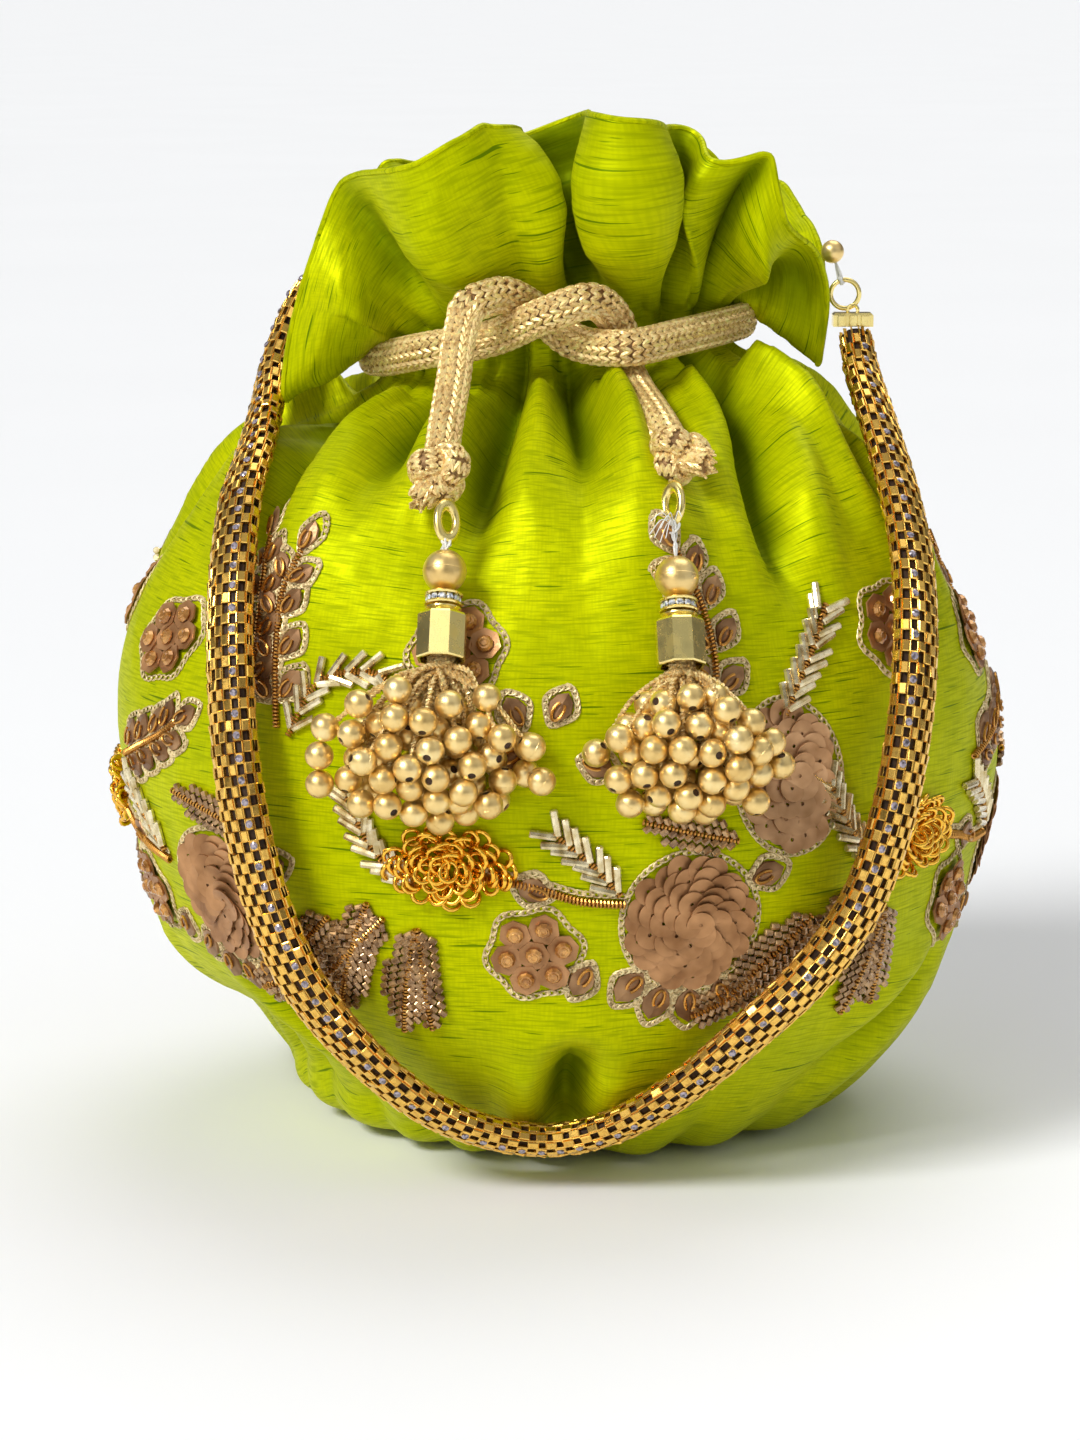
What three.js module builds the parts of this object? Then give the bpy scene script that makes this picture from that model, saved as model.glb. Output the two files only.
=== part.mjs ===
// An embroidered drawstring pouch (a potli): a hollow silk body with a flared frill, a knotted drawstring
// with two bead tassels, and a box-link handle that hangs down its front.
// Millimetres, +Z up. The origin is the centre of the flat base, and the front of the pouch faces -Y.
import * as THREE from 'three';

// ---- driving dimensions of the pouch ----
const BASE = { halfWidth: 46, thickness: 2.4, clearance: 0.5 };
const BELLY = { halfWidth: 100, height: 85, depthRatio: 0.83 };
const NECK = { halfWidth: 38, foot: 173, height: 181, depthRatio: 0.5, tilt: 0.098 };
const SHOULDER_START = 148;
const SHELL_WALL = 1.5;
const NECK_WALL = 9;
const LINING = { gap: 0.6, wall: 0.9, top: 166 };
const FRILL = { wall: 1.5, gap: 2.2, rise: 26, droop: 3 };
const AROUND = 40;
const DEG = Math.PI / 180;

// ---- driving dimensions of the cords and trimmings ----
const CORD_DIAMETER = 5.6;
const END_RING = { radius: 3.2, wire: 0.75 };
const BEAD_RADIUS = 4.6;
const RONDELLE = { radius: 4.2, height: 2.6 };
const CAP = { radius: 5.5, length: 11, wall: 0.7 };
const MESH = { width: 12.4, thickness: 7.4, bore: 0.7 };
const HANDLE_RING = { radius: 3.1, wire: 0.6 };
const TOUCH_GAP = 0.35;
const PANELS = 5;

const COLOURS = {
  silk: [0x96b80a, 0.55, 0.0],
  lining: [0x8f9c2a, 0.8, 0.0],
  cord: [0xc8a468, 0.5, 0.4],
  brass: [0xdcbe50, 0.25, 1.0],
  pearl: [0xcdaf6e, 0.4, 0.6],
  crystal: [0xd8dce0, 0.1, 0.2],
  thread: [0xf2f0e6, 0.8, 0.0],
  mesh: [0xc9a24e, 0.3, 0.9],
  sequin: [0x966946, 0.35, 0.5],
  coil: [0xdc9614, 0.35, 0.7],
  amber: [0xa0602a, 0.35, 0.3],
  cutbead: [0x82603f, 0.4, 0.4],
};

const pouch = new THREE.Group();

function addMesh(parent, name, geometry, look) {
  const [color, roughness, metalness] = COLOURS[look];
  const mesh = new THREE.Mesh(geometry, new THREE.MeshStandardMaterial({ color, roughness, metalness }));
  mesh.name = name;
  parent.add(mesh);
  return mesh;
}

const vector = ([x, y, z]) => new THREE.Vector3(x, y, z);

// ---- the oval body: half-width against height, narrower from front to back than from side to side ----
const bodyProfile = new THREE.CatmullRomCurve3([
  [BASE.halfWidth, 0], [66, 5], [84, 25], [96, 55], [BELLY.halfWidth, BELLY.height],
  [96, 112], [83, 140], [64, 160], [46, 169], [NECK.halfWidth + 0.6, NECK.foot + 1], [NECK.halfWidth, NECK.height],
].map(([halfWidth, height]) => new THREE.Vector3(halfWidth, 0, height)));
const profilePoints = bodyProfile.getPoints(200);

function halfWidthAt(height) {
  const above = profilePoints.findIndex((point) => point.z >= height);
  if (above <= 0) {
    return above === 0 ? BASE.halfWidth : NECK.halfWidth;
  }
  const [low, high] = [profilePoints[above - 1], profilePoints[above]];
  return THREE.MathUtils.mapLinear(height, low.z, high.z, low.x, high.x);
}

function depthRatioAt(height) {
  const rise = THREE.MathUtils.clamp((height - SHOULDER_START) / (NECK.foot - SHOULDER_START), 0, 1);
  return BELLY.depthRatio + (NECK.depthRatio - BELLY.depthRatio) * rise * rise;
}

function tiltRise(x, height) {
  return NECK.tilt * x * THREE.MathUtils.smoothstep(height, SHOULDER_START, NECK.foot);
}

// A closed [radius, height] profile turned round Z, then squeezed to the oval section.
function ovalLathe(profile, around) {
  const outline = profile.map(([radius, height]) => new THREE.Vector2(radius, height));
  const geometry = new THREE.LatheGeometry(outline, around);
  geometry.rotateX(Math.PI / 2);
  const place = geometry.attributes.position;
  for (let i = 0; i < place.count; i += 1) {
    const [x, y, z] = [place.getX(i), place.getY(i), place.getZ(i)];
    place.setXYZ(i, x, y * depthRatioAt(z), z + tiltRise(x, z));
  }
  return geometry;
}

// The body's outline moved inwards by a distance, square to its slope.
function insetOutline(heights, distance) {
  const slopeStep = 0.5;
  return heights.map((height) => {
    const run = halfWidthAt(height + slopeStep) - halfWidthAt(Math.max(height - slopeStep, 0));
    const rise = height < slopeStep ? height + slopeStep : 2 * slopeStep;
    const length = Math.hypot(run, rise);
    const inset = distance(height);
    return [halfWidthAt(height) - inset * rise / length, height + inset * run / length];
  });
}

function makeBody() {
  const floor = BASE.thickness;
  const heights = [0, 5, 18, 40, 64, 88, 112, 132, 147, 158, 167, 174, NECK.height];
  const shellWall = (height) => SHELL_WALL + (NECK_WALL - SHELL_WALL)
    * THREE.MathUtils.smoothstep(height, LINING.top, NECK.height - 4);
  const outside = heights.map((height) => [halfWidthAt(height), height]);
  const inside = insetOutline(heights, shellWall);
  inside[inside.length - 1] = [NECK.halfWidth - NECK_WALL, NECK.height];
  const shell = [...outside, ...inside.reverse(), outside[0]];
  addMesh(pouch, 'pouch_shell', ovalLathe(shell, AROUND), 'silk');

  const baseRadius = BASE.halfWidth - SHELL_WALL - BASE.clearance;
  const base = [[0, 0], [baseRadius, 0], [baseRadius, floor], [0, floor]];
  addMesh(pouch, 'base_panel', ovalLathe(base, AROUND), 'silk');

  const sides = heights.filter((height) => height > 0 && height < LINING.top);
  const liningFloor = floor + TOUCH_GAP;
  const outerSkin = insetOutline(sides, () => SHELL_WALL + LINING.gap);
  const innerSkin = insetOutline(sides, () => SHELL_WALL + LINING.gap + LINING.wall).reverse();
  const lining = [[0, liningFloor], [baseRadius, liningFloor], ...outerSkin, ...innerSkin,
    [baseRadius, liningFloor + LINING.wall], [0, liningFloor + LINING.wall]];
  addMesh(pouch, 'lining', ovalLathe(lining, AROUND), 'lining');
}

// ---- a sheet solid from a surface function: two skins a wall apart, closed at the neck and at the hem ----
function sheetSolid(surface, around, along, wall) {
  const positions = [];
  const step = 1e-3;
  for (const side of [1, -1]) {
    for (let j = 0; j <= along; j += 1) {
      for (let i = 0; i < around; i += 1) {
        const [u, v] = [i / around, j / along];
        const point = surface(u, v);
        const alongU = surface(u + step, v).sub(surface(u - step, v));
        const alongV = surface(u, Math.min(v + step, 1)).sub(surface(u, Math.max(v - step, 0)));
        const normal = alongU.cross(alongV).normalize();
        point.addScaledVector(normal, side * wall / 2);
        positions.push(point.x, point.y, point.z);
      }
    }
  }
  const skin = (along + 1) * around;
  const at = (side, j, i) => side * skin + j * around + (i % around);
  const faces = [];
  const quad = (a, b, c, d) => faces.push(a, b, c, a, c, d);
  for (let i = 0; i < around; i += 1) {
    for (let j = 0; j < along; j += 1) {
      quad(at(0, j, i), at(0, j, i + 1), at(0, j + 1, i + 1), at(0, j + 1, i));
      quad(at(1, j, i), at(1, j + 1, i), at(1, j + 1, i + 1), at(1, j, i + 1));
    }
    quad(at(0, 0, i), at(1, 0, i), at(1, 0, i + 1), at(0, 0, i + 1));
    quad(at(0, along, i), at(0, along, i + 1), at(1, along, i + 1), at(1, along, i));
  }
  const geometry = new THREE.BufferGeometry();
  geometry.setAttribute('position', new THREE.Float32BufferAttribute(positions, 3));
  geometry.setIndex(faces);
  return geometry;
}

// The frill's hem, from the right side round the back, the left side and the front. The silk stands up in lobes,
// and at each side one fold droops over the shoulder.
const HEM = new THREE.CatmullRomCurve3([
  [58.5, -6, 173.5], [59.3, -1.7, 196.7], [55, 12, 206], [47, 25, 210], [36, 21, 215], [25, 30, 219],
  [12, 30, 222], [0, 22, 221], [-12, 30, 221], [-25, 31, 219], [-38, 22, 214], [-48, 20, 209],
  [-55.2, 4.6, 204.6], [-60, -11, 167], [-58.5, -12, 187], [-51.5, -14, 204.5], [-42, -24, 216],
  [-29, -33, 223], [-15, -34, 227], [-3, -16, 225.5], [13, -34, 231.3], [28, -22, 223.5], [43, -29, 217],
  [55.5, -17, 202],
].map(vector), true);

function frillSurface(u, v) {
  const turn = u * 2 * Math.PI;
  const foot = new THREE.Vector3(NECK.halfWidth * Math.cos(turn),
    NECK.halfWidth * NECK.depthRatio * Math.sin(turn), NECK.height + FRILL.gap);
  foot.z += tiltRise(foot.x, NECK.height);
  const hem = HEM.getPoint((u + 1) % 1);
  const stand = THREE.MathUtils.clamp(8 + 0.6 * (hem.z - foot.z), FRILL.droop, FRILL.rise);
  const crest = new THREE.Vector3((foot.x + hem.x) / 2, (foot.y + hem.y) / 2 * 0.9, foot.z + stand);
  return new THREE.QuadraticBezierCurve3(foot, crest, hem).getPoint(v);
}

// ---- cords ----
function ovalOutline(Outline, width, sides, flat) {
  const outline = new Outline();
  for (let i = 0; i < sides; i += 1) {
    const turn = i / sides * 2 * Math.PI;
    const [x, y] = [width / 2 * Math.cos(turn), width / 2 * flat * Math.sin(turn)];
    i === 0 ? outline.moveTo(x, y) : outline.lineTo(x, y);
  }
  outline.closePath();
  return outline;
}

function cordGeometry(points, diameter, steps, sides, flat = 1, bore = 0) {
  const section = ovalOutline(THREE.Shape, diameter, sides, flat);
  if (bore > 0) section.holes.push(ovalOutline(THREE.Path, diameter * bore, sides, flat));
  const extrudePath = new THREE.CatmullRomCurve3(points.map(vector));
  return new THREE.ExtrudeGeometry(section, { steps, extrudePath, curveSegments: 1 });
}

// The drawstring goes round the neck once and crosses itself twice in the half-knot at the front.
const KNOT_LEFT_END = [-16, -35.5, 190.5];
const KNOT_RIGHT_END = [14.4, -26.4, 178.8];

function drawstringRoute() {
  const ring = { halfWidth: NECK.halfWidth + 4.6, halfDepth: NECK.halfWidth * NECK.depthRatio + 4.2 };
  const back = [];
  for (let turn = -25; turn <= 205; turn += 23) {
    const x = ring.halfWidth * Math.cos(turn * DEG);
    back.push([x, ring.halfDepth * Math.sin(turn * DEG), NECK.height - 2 + NECK.tilt * x]);
  }
  const rightStrand = [KNOT_LEFT_END, [-11, -31, 191], [-4, -25.2, 186.5], [4, -27.5, 180.5], [15, -34, 180], [27, -25, 181.5]];
  const leftStrand = [[-28, -23, 178.5], [-14, -27, 181.5], [-3, -34.5, 187], [7, -33.5, 190],
    [12.4, -27.6, 185.6], KNOT_RIGHT_END];
  return [...rightStrand, ...back, ...leftStrand];
}

// ---- a lens-shaped patch that follows the belly: azimuth from the front, positive towards +X ----
function bellyPatch(azimuth, height, halfAcross, halfUp, lift) {
  const geometry = new THREE.SphereGeometry(1, 8, 4);
  const place = geometry.attributes.position;
  for (let i = 0; i < place.count; i += 1) {
    const z = height + halfUp * place.getY(i);
    const turn = azimuth * DEG + halfAcross * place.getX(i) / halfWidthAt(height);
    const offset = 0.7 + lift * (place.getZ(i) + 1) / 2;
    const wide = halfWidthAt(z) + offset;
    const deep = halfWidthAt(z) * depthRatioAt(z) + offset;
    place.setXYZ(i, wide * Math.sin(turn), -deep * Math.cos(turn), z);
  }
  return geometry;
}

// The panel left of the front has leaves and beads in place of its upper sequin flower.
const PLAIN_PANEL = 4;
const MOTIFS = [
  { name: 'coil_flower', azimuth: -14, height: 77, across: 12.5, up: 8.5, lift: 2.0, look: 'coil' },
  { name: 'sequin_flower_low', azimuth: 18, height: 63, across: 13.5, up: 13, lift: 2.2, look: 'sequin' },
  { name: 'sequin_flower_high', azimuth: 33, height: 93, across: 11, up: 14, lift: 2.2, look: 'sequin' },
  { name: 'disc_flower', azimuth: -5, height: 56.5, across: 10.5, up: 9.5, lift: 1.6, look: 'amber' },
  { name: 'beaded_leaf', azimuth: -30, height: 55, across: 11, up: 12, lift: 1.6, look: 'cutbead' },
];

function makeEmbroidery() {
  for (let panel = 0; panel < PANELS; panel += 1) {
    for (const motif of MOTIFS) {
      if (motif.name === 'sequin_flower_high' && panel === PLAIN_PANEL) continue;
      const azimuth = motif.azimuth + panel * 360 / PANELS;
      const patch = bellyPatch(azimuth, motif.height, motif.across, motif.up, motif.lift);
      addMesh(pouch, `${motif.name}_${panel + 1}`, patch, motif.look);
    }
  }
}

// ---- a tassel side: the hanging end of the drawstring, its knot, and the tassel in two tilted lengths ----
const TASSELS = [
  {
    side: 'left',
    tail: [[-20.2, -38.5, 187.5], [-21.6, -42.5, 181], [-22.3, -46.5, 175], [-23.4, -52, 168.5], [-24.2, -56, 163.5]],
    knot: [-24.9, -60.6, 156.6],
    hang: [-23.2, -67, 150.4],
    thread: 1.2,
    headTilt: 27.5,
    headLean: 2,
    cluster: { halfWidth: 26.5, halfHeight: 16.5, aside: -2.2 },
  },
  {
    side: 'right',
    tail: [[15.3, -28.6, 174.4], [17.3, -33.8, 171], [19.8, -41, 168], [22.2, -48.2, 164.8]],
    knot: [25.4, -56.4, 159.4],
    hang: [23.8, -64.2, 153.8],
    thread: 6.6,
    headTilt: 27.5,
    headLean: -2.2,
    cluster: { halfWidth: 22, halfHeight: 14.5, aside: 1.2 },
  },
];
const SKIRT = { tilt: -14, halfThick: 7.6, forward: 1.6, strandTop: 3.2, strandLength: 4 };

// A small turned piece, its outline listed from the top down.
function lathePiece(profile, around) {
  const outline = profile.map(([r, z]) => new THREE.Vector2(r, z)).reverse();
  const geometry = new THREE.LatheGeometry(outline, around);
  return geometry.rotateX(Math.PI / 2);
}

function ringGeometry(radius, wire) {
  return new THREE.TorusGeometry(radius, wire, 6, 12);
}

function capGeometry() {
  const { radius, length, wall } = CAP;
  const inner = radius - wall;
  return lathePiece([[0, 0], [radius * 0.72, 0], [radius, -1.4], [radius, -length], [inner, -length],
    [inner, -2.2], [0, -2.2]], 8);
}

function makeTassel(spec) {
  const { side, thread, cluster } = spec;
  addMesh(pouch, `tail_${side}`, cordGeometry(spec.tail, CORD_DIAMETER, 8, 8), 'cord');
  const knot = new THREE.SphereGeometry(1, 10, 6);
  knot.scale(6.6, 5.2, 6);
  addMesh(pouch, `knot_${side}`, knot, 'cord').position.set(...spec.knot);

  const head = new THREE.Group();
  head.position.set(...spec.hang);
  head.rotation.set(-spec.headTilt * DEG, spec.headLean * DEG, 0);
  pouch.add(head);
  const ring = addMesh(head, `end_ring_${side}`, ringGeometry(END_RING.radius, END_RING.wire), 'brass');
  ring.rotation.x = Math.PI / 2;
  ring.position.z = -END_RING.radius - END_RING.wire;
  let drop = -2 * END_RING.radius - END_RING.wire * 2 - TOUCH_GAP;
  const threadShape = new THREE.CylinderGeometry(0.7, 0.7, thread, 8).rotateX(Math.PI / 2);
  addMesh(head, `link_thread_${side}`, threadShape, 'thread').position.z = drop - thread / 2;
  drop -= thread + TOUCH_GAP + BEAD_RADIUS;
  const bead = new THREE.SphereGeometry(BEAD_RADIUS, 12, 8).rotateX(Math.PI / 2);
  addMesh(head, `round_bead_${side}`, bead, 'pearl').position.z = drop;
  drop -= BEAD_RADIUS + TOUCH_GAP;
  const { radius, height } = RONDELLE;
  const rondelle = lathePiece([[0, 0], [radius * 0.8, 0], [radius, -height * 0.3], [radius, -height * 0.7],
    [radius * 0.8, -height], [0, -height]], 12);
  addMesh(head, `rondelle_${side}`, rondelle, 'crystal').position.z = drop;
  drop -= height + TOUCH_GAP;
  addMesh(head, `bell_cap_${side}`, capGeometry(), 'brass').position.z = drop;
  drop -= CAP.length;

  const skirt = new THREE.Group();
  skirt.position.z = drop;
  skirt.rotation.set(-SKIRT.tilt * DEG, 0, 0);
  head.add(skirt);
  const { strandTop, strandLength } = SKIRT;
  const strands = lathePiece([[0, strandTop], [2.6, strandTop], [3, 0], [6, -strandLength], [0, -strandLength]], 12);
  addMesh(skirt, `strand_fan_${side}`, strands.scale(1, 0.8, 1), 'cord');
  const beads = new THREE.SphereGeometry(1, 14, 8);
  beads.scale(cluster.halfWidth, SKIRT.halfThick, cluster.halfHeight);
  const top = -strandLength - TOUCH_GAP - cluster.halfHeight;
  addMesh(skirt, `bead_cluster_${side}`, beads, 'pearl').position.set(cluster.aside, -SKIRT.forward, top);
}

// ---- the handle: a flattened tube of box links, laid down the front, with a bar at each end ----
const HANDLE_ENDS = [
  { side: 'left', bar: [-63.4, 2.4, 193.2], ring: [-62.2, 3.4, 199.4], bead: [-57.6, 6.4, 206.2] },
  { side: 'right', bar: [66.4, -3.4, 183.3], ring: [64.6, -3, 188.9], bead: [61.6, -3.6, 198.4] },
];
const HANDLE_ROUTE = [
  [-63.8, 1.2, 190.4], [-67.4, -9, 171], [-69, -29, 159.5], [-70.2, -47, 145], [-70, -59, 127], [-69, -68, 108],
  [-66.6, -74, 88], [-61.6, -76, 67], [-54, -76, 49], [-42, -74.5, 33], [-28, -71, 20], [-14, -68, 13.2],
  [0, -67.4, 11.6], [14, -70.5, 16.5], [28, -75, 27], [42, -77, 40], [54, -76.5, 52], [64, -74, 66],
  [70.4, -71, 83], [74, -66.5, 100], [76, -60, 118], [76.2, -50, 134], [74.4, -38, 148], [71, -24, 161.5],
  [68.2, -11, 172], [67, -4.4, 179.6],
];
const BAR = { width: 9, depth: 4.6, height: 3 };

function makeHandle() {
  const tube = cordGeometry(HANDLE_ROUTE, MESH.width, 56, 8, MESH.thickness / MESH.width, MESH.bore);
  addMesh(pouch, 'handle_mesh', tube, 'mesh');
  for (const { side, bar, ring, bead } of HANDLE_ENDS) {
    const barShape = new THREE.BoxGeometry(BAR.width, BAR.depth, BAR.height);
    addMesh(pouch, `handle_bar_${side}`, barShape, 'brass').position.set(...bar);
    const loop = addMesh(pouch, `handle_ring_${side}`, ringGeometry(HANDLE_RING.radius, HANDLE_RING.wire), 'brass');
    loop.rotation.x = Math.PI / 2;
    loop.position.set(...ring);
    const anchor = new THREE.SphereGeometry(2.6, 10, 6);
    addMesh(pouch, `anchor_bead_${side}`, anchor, 'pearl').position.set(...bead);
    const [from, to] = [vector(bead), vector(ring)];
    const along = to.clone().sub(from).normalize();
    from.addScaledVector(along, 2.6 + TOUCH_GAP);
    to.addScaledVector(along, -HANDLE_RING.radius - HANDLE_RING.wire - TOUCH_GAP);
    const tie = new THREE.CylinderGeometry(0.6, 0.6, from.distanceTo(to), 8);
    const thread = addMesh(pouch, `anchor_thread_${side}`, tie, 'thread');
    thread.quaternion.setFromUnitVectors(new THREE.Vector3(0, -1, 0), along);
    thread.position.copy(from.add(to).multiplyScalar(0.5));
  }
}

makeBody();
addMesh(pouch, 'frill', sheetSolid(frillSurface, 48, 4, FRILL.wall), 'silk');
addMesh(pouch, 'drawstring', cordGeometry(drawstringRoute(), CORD_DIAMETER, 60, 8), 'cord');
makeEmbroidery();
TASSELS.forEach(makeTassel);
makeHandle();

export default pouch;
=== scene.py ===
# An embroidered raw-silk drawstring pouch: gathered silk body and frill, knitted gold drawstring with a
# half-knot, two bead tassels, a box-link mesh handle and beaded embroidery in five repeats round the belly.
# Lengths below are in millimetres in the CAD model's frame, and become metres where a mesh is made.
import math

import bpy
import numpy as np
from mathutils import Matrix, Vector
from mathutils.bvhtree import BVHTree


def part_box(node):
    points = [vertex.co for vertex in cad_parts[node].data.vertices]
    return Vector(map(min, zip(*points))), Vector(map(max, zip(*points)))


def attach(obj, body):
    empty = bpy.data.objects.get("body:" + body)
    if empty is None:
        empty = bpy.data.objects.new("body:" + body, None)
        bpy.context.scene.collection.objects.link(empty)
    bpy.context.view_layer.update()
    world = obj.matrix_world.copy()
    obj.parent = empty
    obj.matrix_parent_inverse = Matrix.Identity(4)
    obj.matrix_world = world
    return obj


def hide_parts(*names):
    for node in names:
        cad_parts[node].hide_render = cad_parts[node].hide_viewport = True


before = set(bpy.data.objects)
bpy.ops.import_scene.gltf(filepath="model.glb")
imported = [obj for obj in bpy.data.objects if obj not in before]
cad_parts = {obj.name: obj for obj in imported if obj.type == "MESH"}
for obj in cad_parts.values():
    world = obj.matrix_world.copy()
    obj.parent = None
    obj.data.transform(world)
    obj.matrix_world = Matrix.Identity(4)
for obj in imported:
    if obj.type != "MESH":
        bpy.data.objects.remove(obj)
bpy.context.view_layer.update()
MM = 0.001

# ---------------------------------------------------------------- driving dimensions, from the frame


def box_mm(node):
    """A CAD node's lowest and highest corners in millimetres."""
    low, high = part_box(node)
    return np.array(low) / MM, np.array(high) / MM


SHELL_LOW, SHELL_HIGH = box_mm("pouch_shell")
BELLY_HALF = (SHELL_HIGH[0] - SHELL_LOW[0]) / 2
BASE_HALF = 46.0
NECK_HALF = 38.0
NECK_FOOT = 173.0
NECK_TOP = 181.0
NECK_TILT = 0.098
SHOULDER_START = 148.0
BELLY_DEPTH_RATIO = 0.83
NECK_DEPTH_RATIO = 0.5
PROFILE = [(BASE_HALF, 0), (66, 5), (84, 25), (96, 55), (BELLY_HALF, 85), (96, 112), (83, 140), (64, 160),
           (46, 169), (NECK_HALF + 0.6, NECK_FOOT + 1), (NECK_HALF, NECK_TOP)]
CORD_HALF_WIDTH = 3.8
CORD_HALF_THICK = 2.3
BEAD_RADIUS = 3.0
SEQUIN_RADIUS = 3.0
PANELS = 5
PANEL_STEP = 360 / PANELS


# ---------------------------------------------------------------- camera, first
def make_camera():
    elevation = math.radians(12.0)
    distance = 800.0
    target = Vector((-3.9, 0.0, 90.4))
    place = target + distance * Vector((0, -math.cos(elevation), math.sin(elevation)))
    data = bpy.data.cameras.new("camera")
    data.lens = 86.4
    data.sensor_width = 36.0
    camera = bpy.data.objects.new("camera", data)
    camera.location = place * MM
    camera.rotation_euler = (math.pi / 2 - elevation, 0, 0)
    bpy.context.collection.objects.link(camera)
    bpy.context.scene.camera = camera


make_camera()


# ---------------------------------------------------------------- small geometry tools
def unit(v):
    v = np.asarray(v, float)
    return v / np.maximum(np.linalg.norm(v, axis=-1, keepdims=True), 1e-9)


def smooth(x, low, high):
    t = np.clip((np.asarray(x, float) - low) / (high - low), 0, 1)
    return t * t * (3 - 2 * t)


def curve_through(points, count, closed=False):
    """count points along a Catmull-Rom curve through the given ones, evenly spaced."""
    points = np.asarray(points, float)
    if closed:
        padded = np.vstack([points[-1], points, points[0], points[1]])
    else:
        padded = np.vstack([2 * points[0] - points[1], points, 2 * points[-1] - points[-2]])
    spans = len(padded) - 3
    fine = []
    for i in range(spans):
        p0, p1, p2, p3 = padded[i:i + 4]
        t = np.linspace(0, 1, 24, endpoint=False)[:, None]
        fine.append(0.5 * (2 * p1 + (p2 - p0) * t + (2 * p0 - 5 * p1 + 4 * p2 - p3) * t**2
                           + (3 * p1 - p0 - 3 * p2 + p3) * t**3))
    fine = np.vstack(fine + [padded[-2][None, :]])
    reach = np.concatenate([[0], np.cumsum(np.linalg.norm(np.diff(fine, axis=0), axis=1))])
    wanted = np.linspace(0, reach[-1], count, endpoint=not closed)
    return np.stack([np.interp(wanted, reach, fine[:, k]) for k in range(3)], 1)


def length_of(points):
    return float(np.linalg.norm(np.diff(points, axis=0), axis=1).sum())


def frames_along(points, facing):
    """Tangent, outward and sideways directions along a path whose outward side faces the given way."""
    tangent = unit(np.gradient(points, axis=0))
    facing = np.asarray(facing, float)
    if facing.ndim == 1:
        facing = np.tile(facing, (len(points), 1))
    outward = unit(facing - (facing * tangent).sum(1, keepdims=True) * tangent)
    return tangent, outward, np.cross(tangent, outward)


def spin(angle):
    """Rotations about local Z for an array of angles."""
    angle = np.asarray(angle, float)
    c, s, o, l = np.cos(angle), np.sin(angle), np.zeros_like(angle), np.ones_like(angle)
    return np.stack([np.stack([c, -s, o], -1), np.stack([s, c, o], -1), np.stack([o, o, l], -1)], -2)


def tilt(angle):
    """Rotations about local X for an array of angles."""
    angle = np.asarray(angle, float)
    c, s, o, l = np.cos(angle), np.sin(angle), np.zeros_like(angle), np.ones_like(angle)
    return np.stack([np.stack([l, o, o], -1), np.stack([o, c, -s], -1), np.stack([o, s, c], -1)], -2)


def roll(angle):
    """Rotations about local Y for an array of angles."""
    angle = np.asarray(angle, float)
    c, s, o, l = np.cos(angle), np.sin(angle), np.zeros_like(angle), np.ones_like(angle)
    return np.stack([np.stack([c, o, s], -1), np.stack([o, l, o], -1), np.stack([-s, o, c], -1)], -2)


def turn_to(axis):
    """Rotations that take local Z to each axis."""
    axis = unit(axis)
    helper = np.where(np.abs(axis[..., 2:3]) < 0.9, [0.0, 0.0, 1.0], [1.0, 0.0, 0.0])
    side = unit(np.cross(helper, axis))
    return np.stack([side, np.cross(axis, side), axis], -1)


def grid_faces(rows, columns, closed, flip=False):
    faces = []
    for j in range(rows - 1):
        for i in range(columns if closed else columns - 1):
            k = (i + 1) % columns
            quad = (j * columns + i, j * columns + k, (j + 1) * columns + k, (j + 1) * columns + i)
            faces.append(quad[::-1] if flip else quad)
    return faces


def revolve(profile, sides):
    """A closed turned solid about Z; profile lists (radius, height) upwards on the outside."""
    turn = np.arange(sides) / sides * 2 * math.pi
    verts, faces = [], []
    for radius, height in profile:
        verts.extend(zip(radius * np.cos(turn), radius * np.sin(turn), [height] * sides))
    faces.extend(grid_faces(len(profile), sides, True))
    faces.append(tuple(range(sides))[::-1])
    faces.append(tuple((len(profile) - 1) * sides + i for i in range(sides)))
    return np.array(verts), faces


def revolve_loop(profile, sides):
    """A turned ring about Z whose (radius, height) outline closes on itself, listed anticlockwise."""
    turn = np.arange(sides) / sides * 2 * math.pi
    verts = []
    for radius, height in profile:
        verts.extend(zip(radius * np.cos(turn), radius * np.sin(turn), [height] * sides))
    return np.array(verts), grid_faces(len(profile), sides, True) + [
        ((len(profile) - 1) * sides + i, (len(profile) - 1) * sides + (i + 1) % sides, (i + 1) % sides, i)
        for i in range(sides)]


def tube(points, radius, sides=8, facing=(0.3, 0.2, 1.0)):
    """A closed round tube along points; radius may change along it."""
    points = np.asarray(points, float)
    _, outward, side = frames_along(points, facing)
    radius = np.broadcast_to(radius, len(points))[:, None, None]
    turn = (np.arange(sides) / sides * 2 * math.pi)[None, :, None]
    spokes = np.cos(turn) * outward[:, None, :] - np.sin(turn) * side[:, None, :]
    ring = points[:, None, :] + radius * spokes
    count = len(points)
    faces = grid_faces(count, sides, True, flip=True)
    faces += [tuple(range(sides)), tuple((count - 1) * sides + i for i in range(sides))[::-1]]
    return ring.reshape(-1, 3), faces


def wire_ring(radius, wire, around=20, sides=8, stretch=1.0):
    """A ring in the local XY plane, stretched along Y."""
    turn = np.arange(sides) / sides * 2 * math.pi
    outline = [(radius + wire * math.cos(t), wire * math.sin(t)) for t in turn]
    verts, faces = revolve_loop(outline, around)
    return verts * [1, stretch, 1], faces


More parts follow.
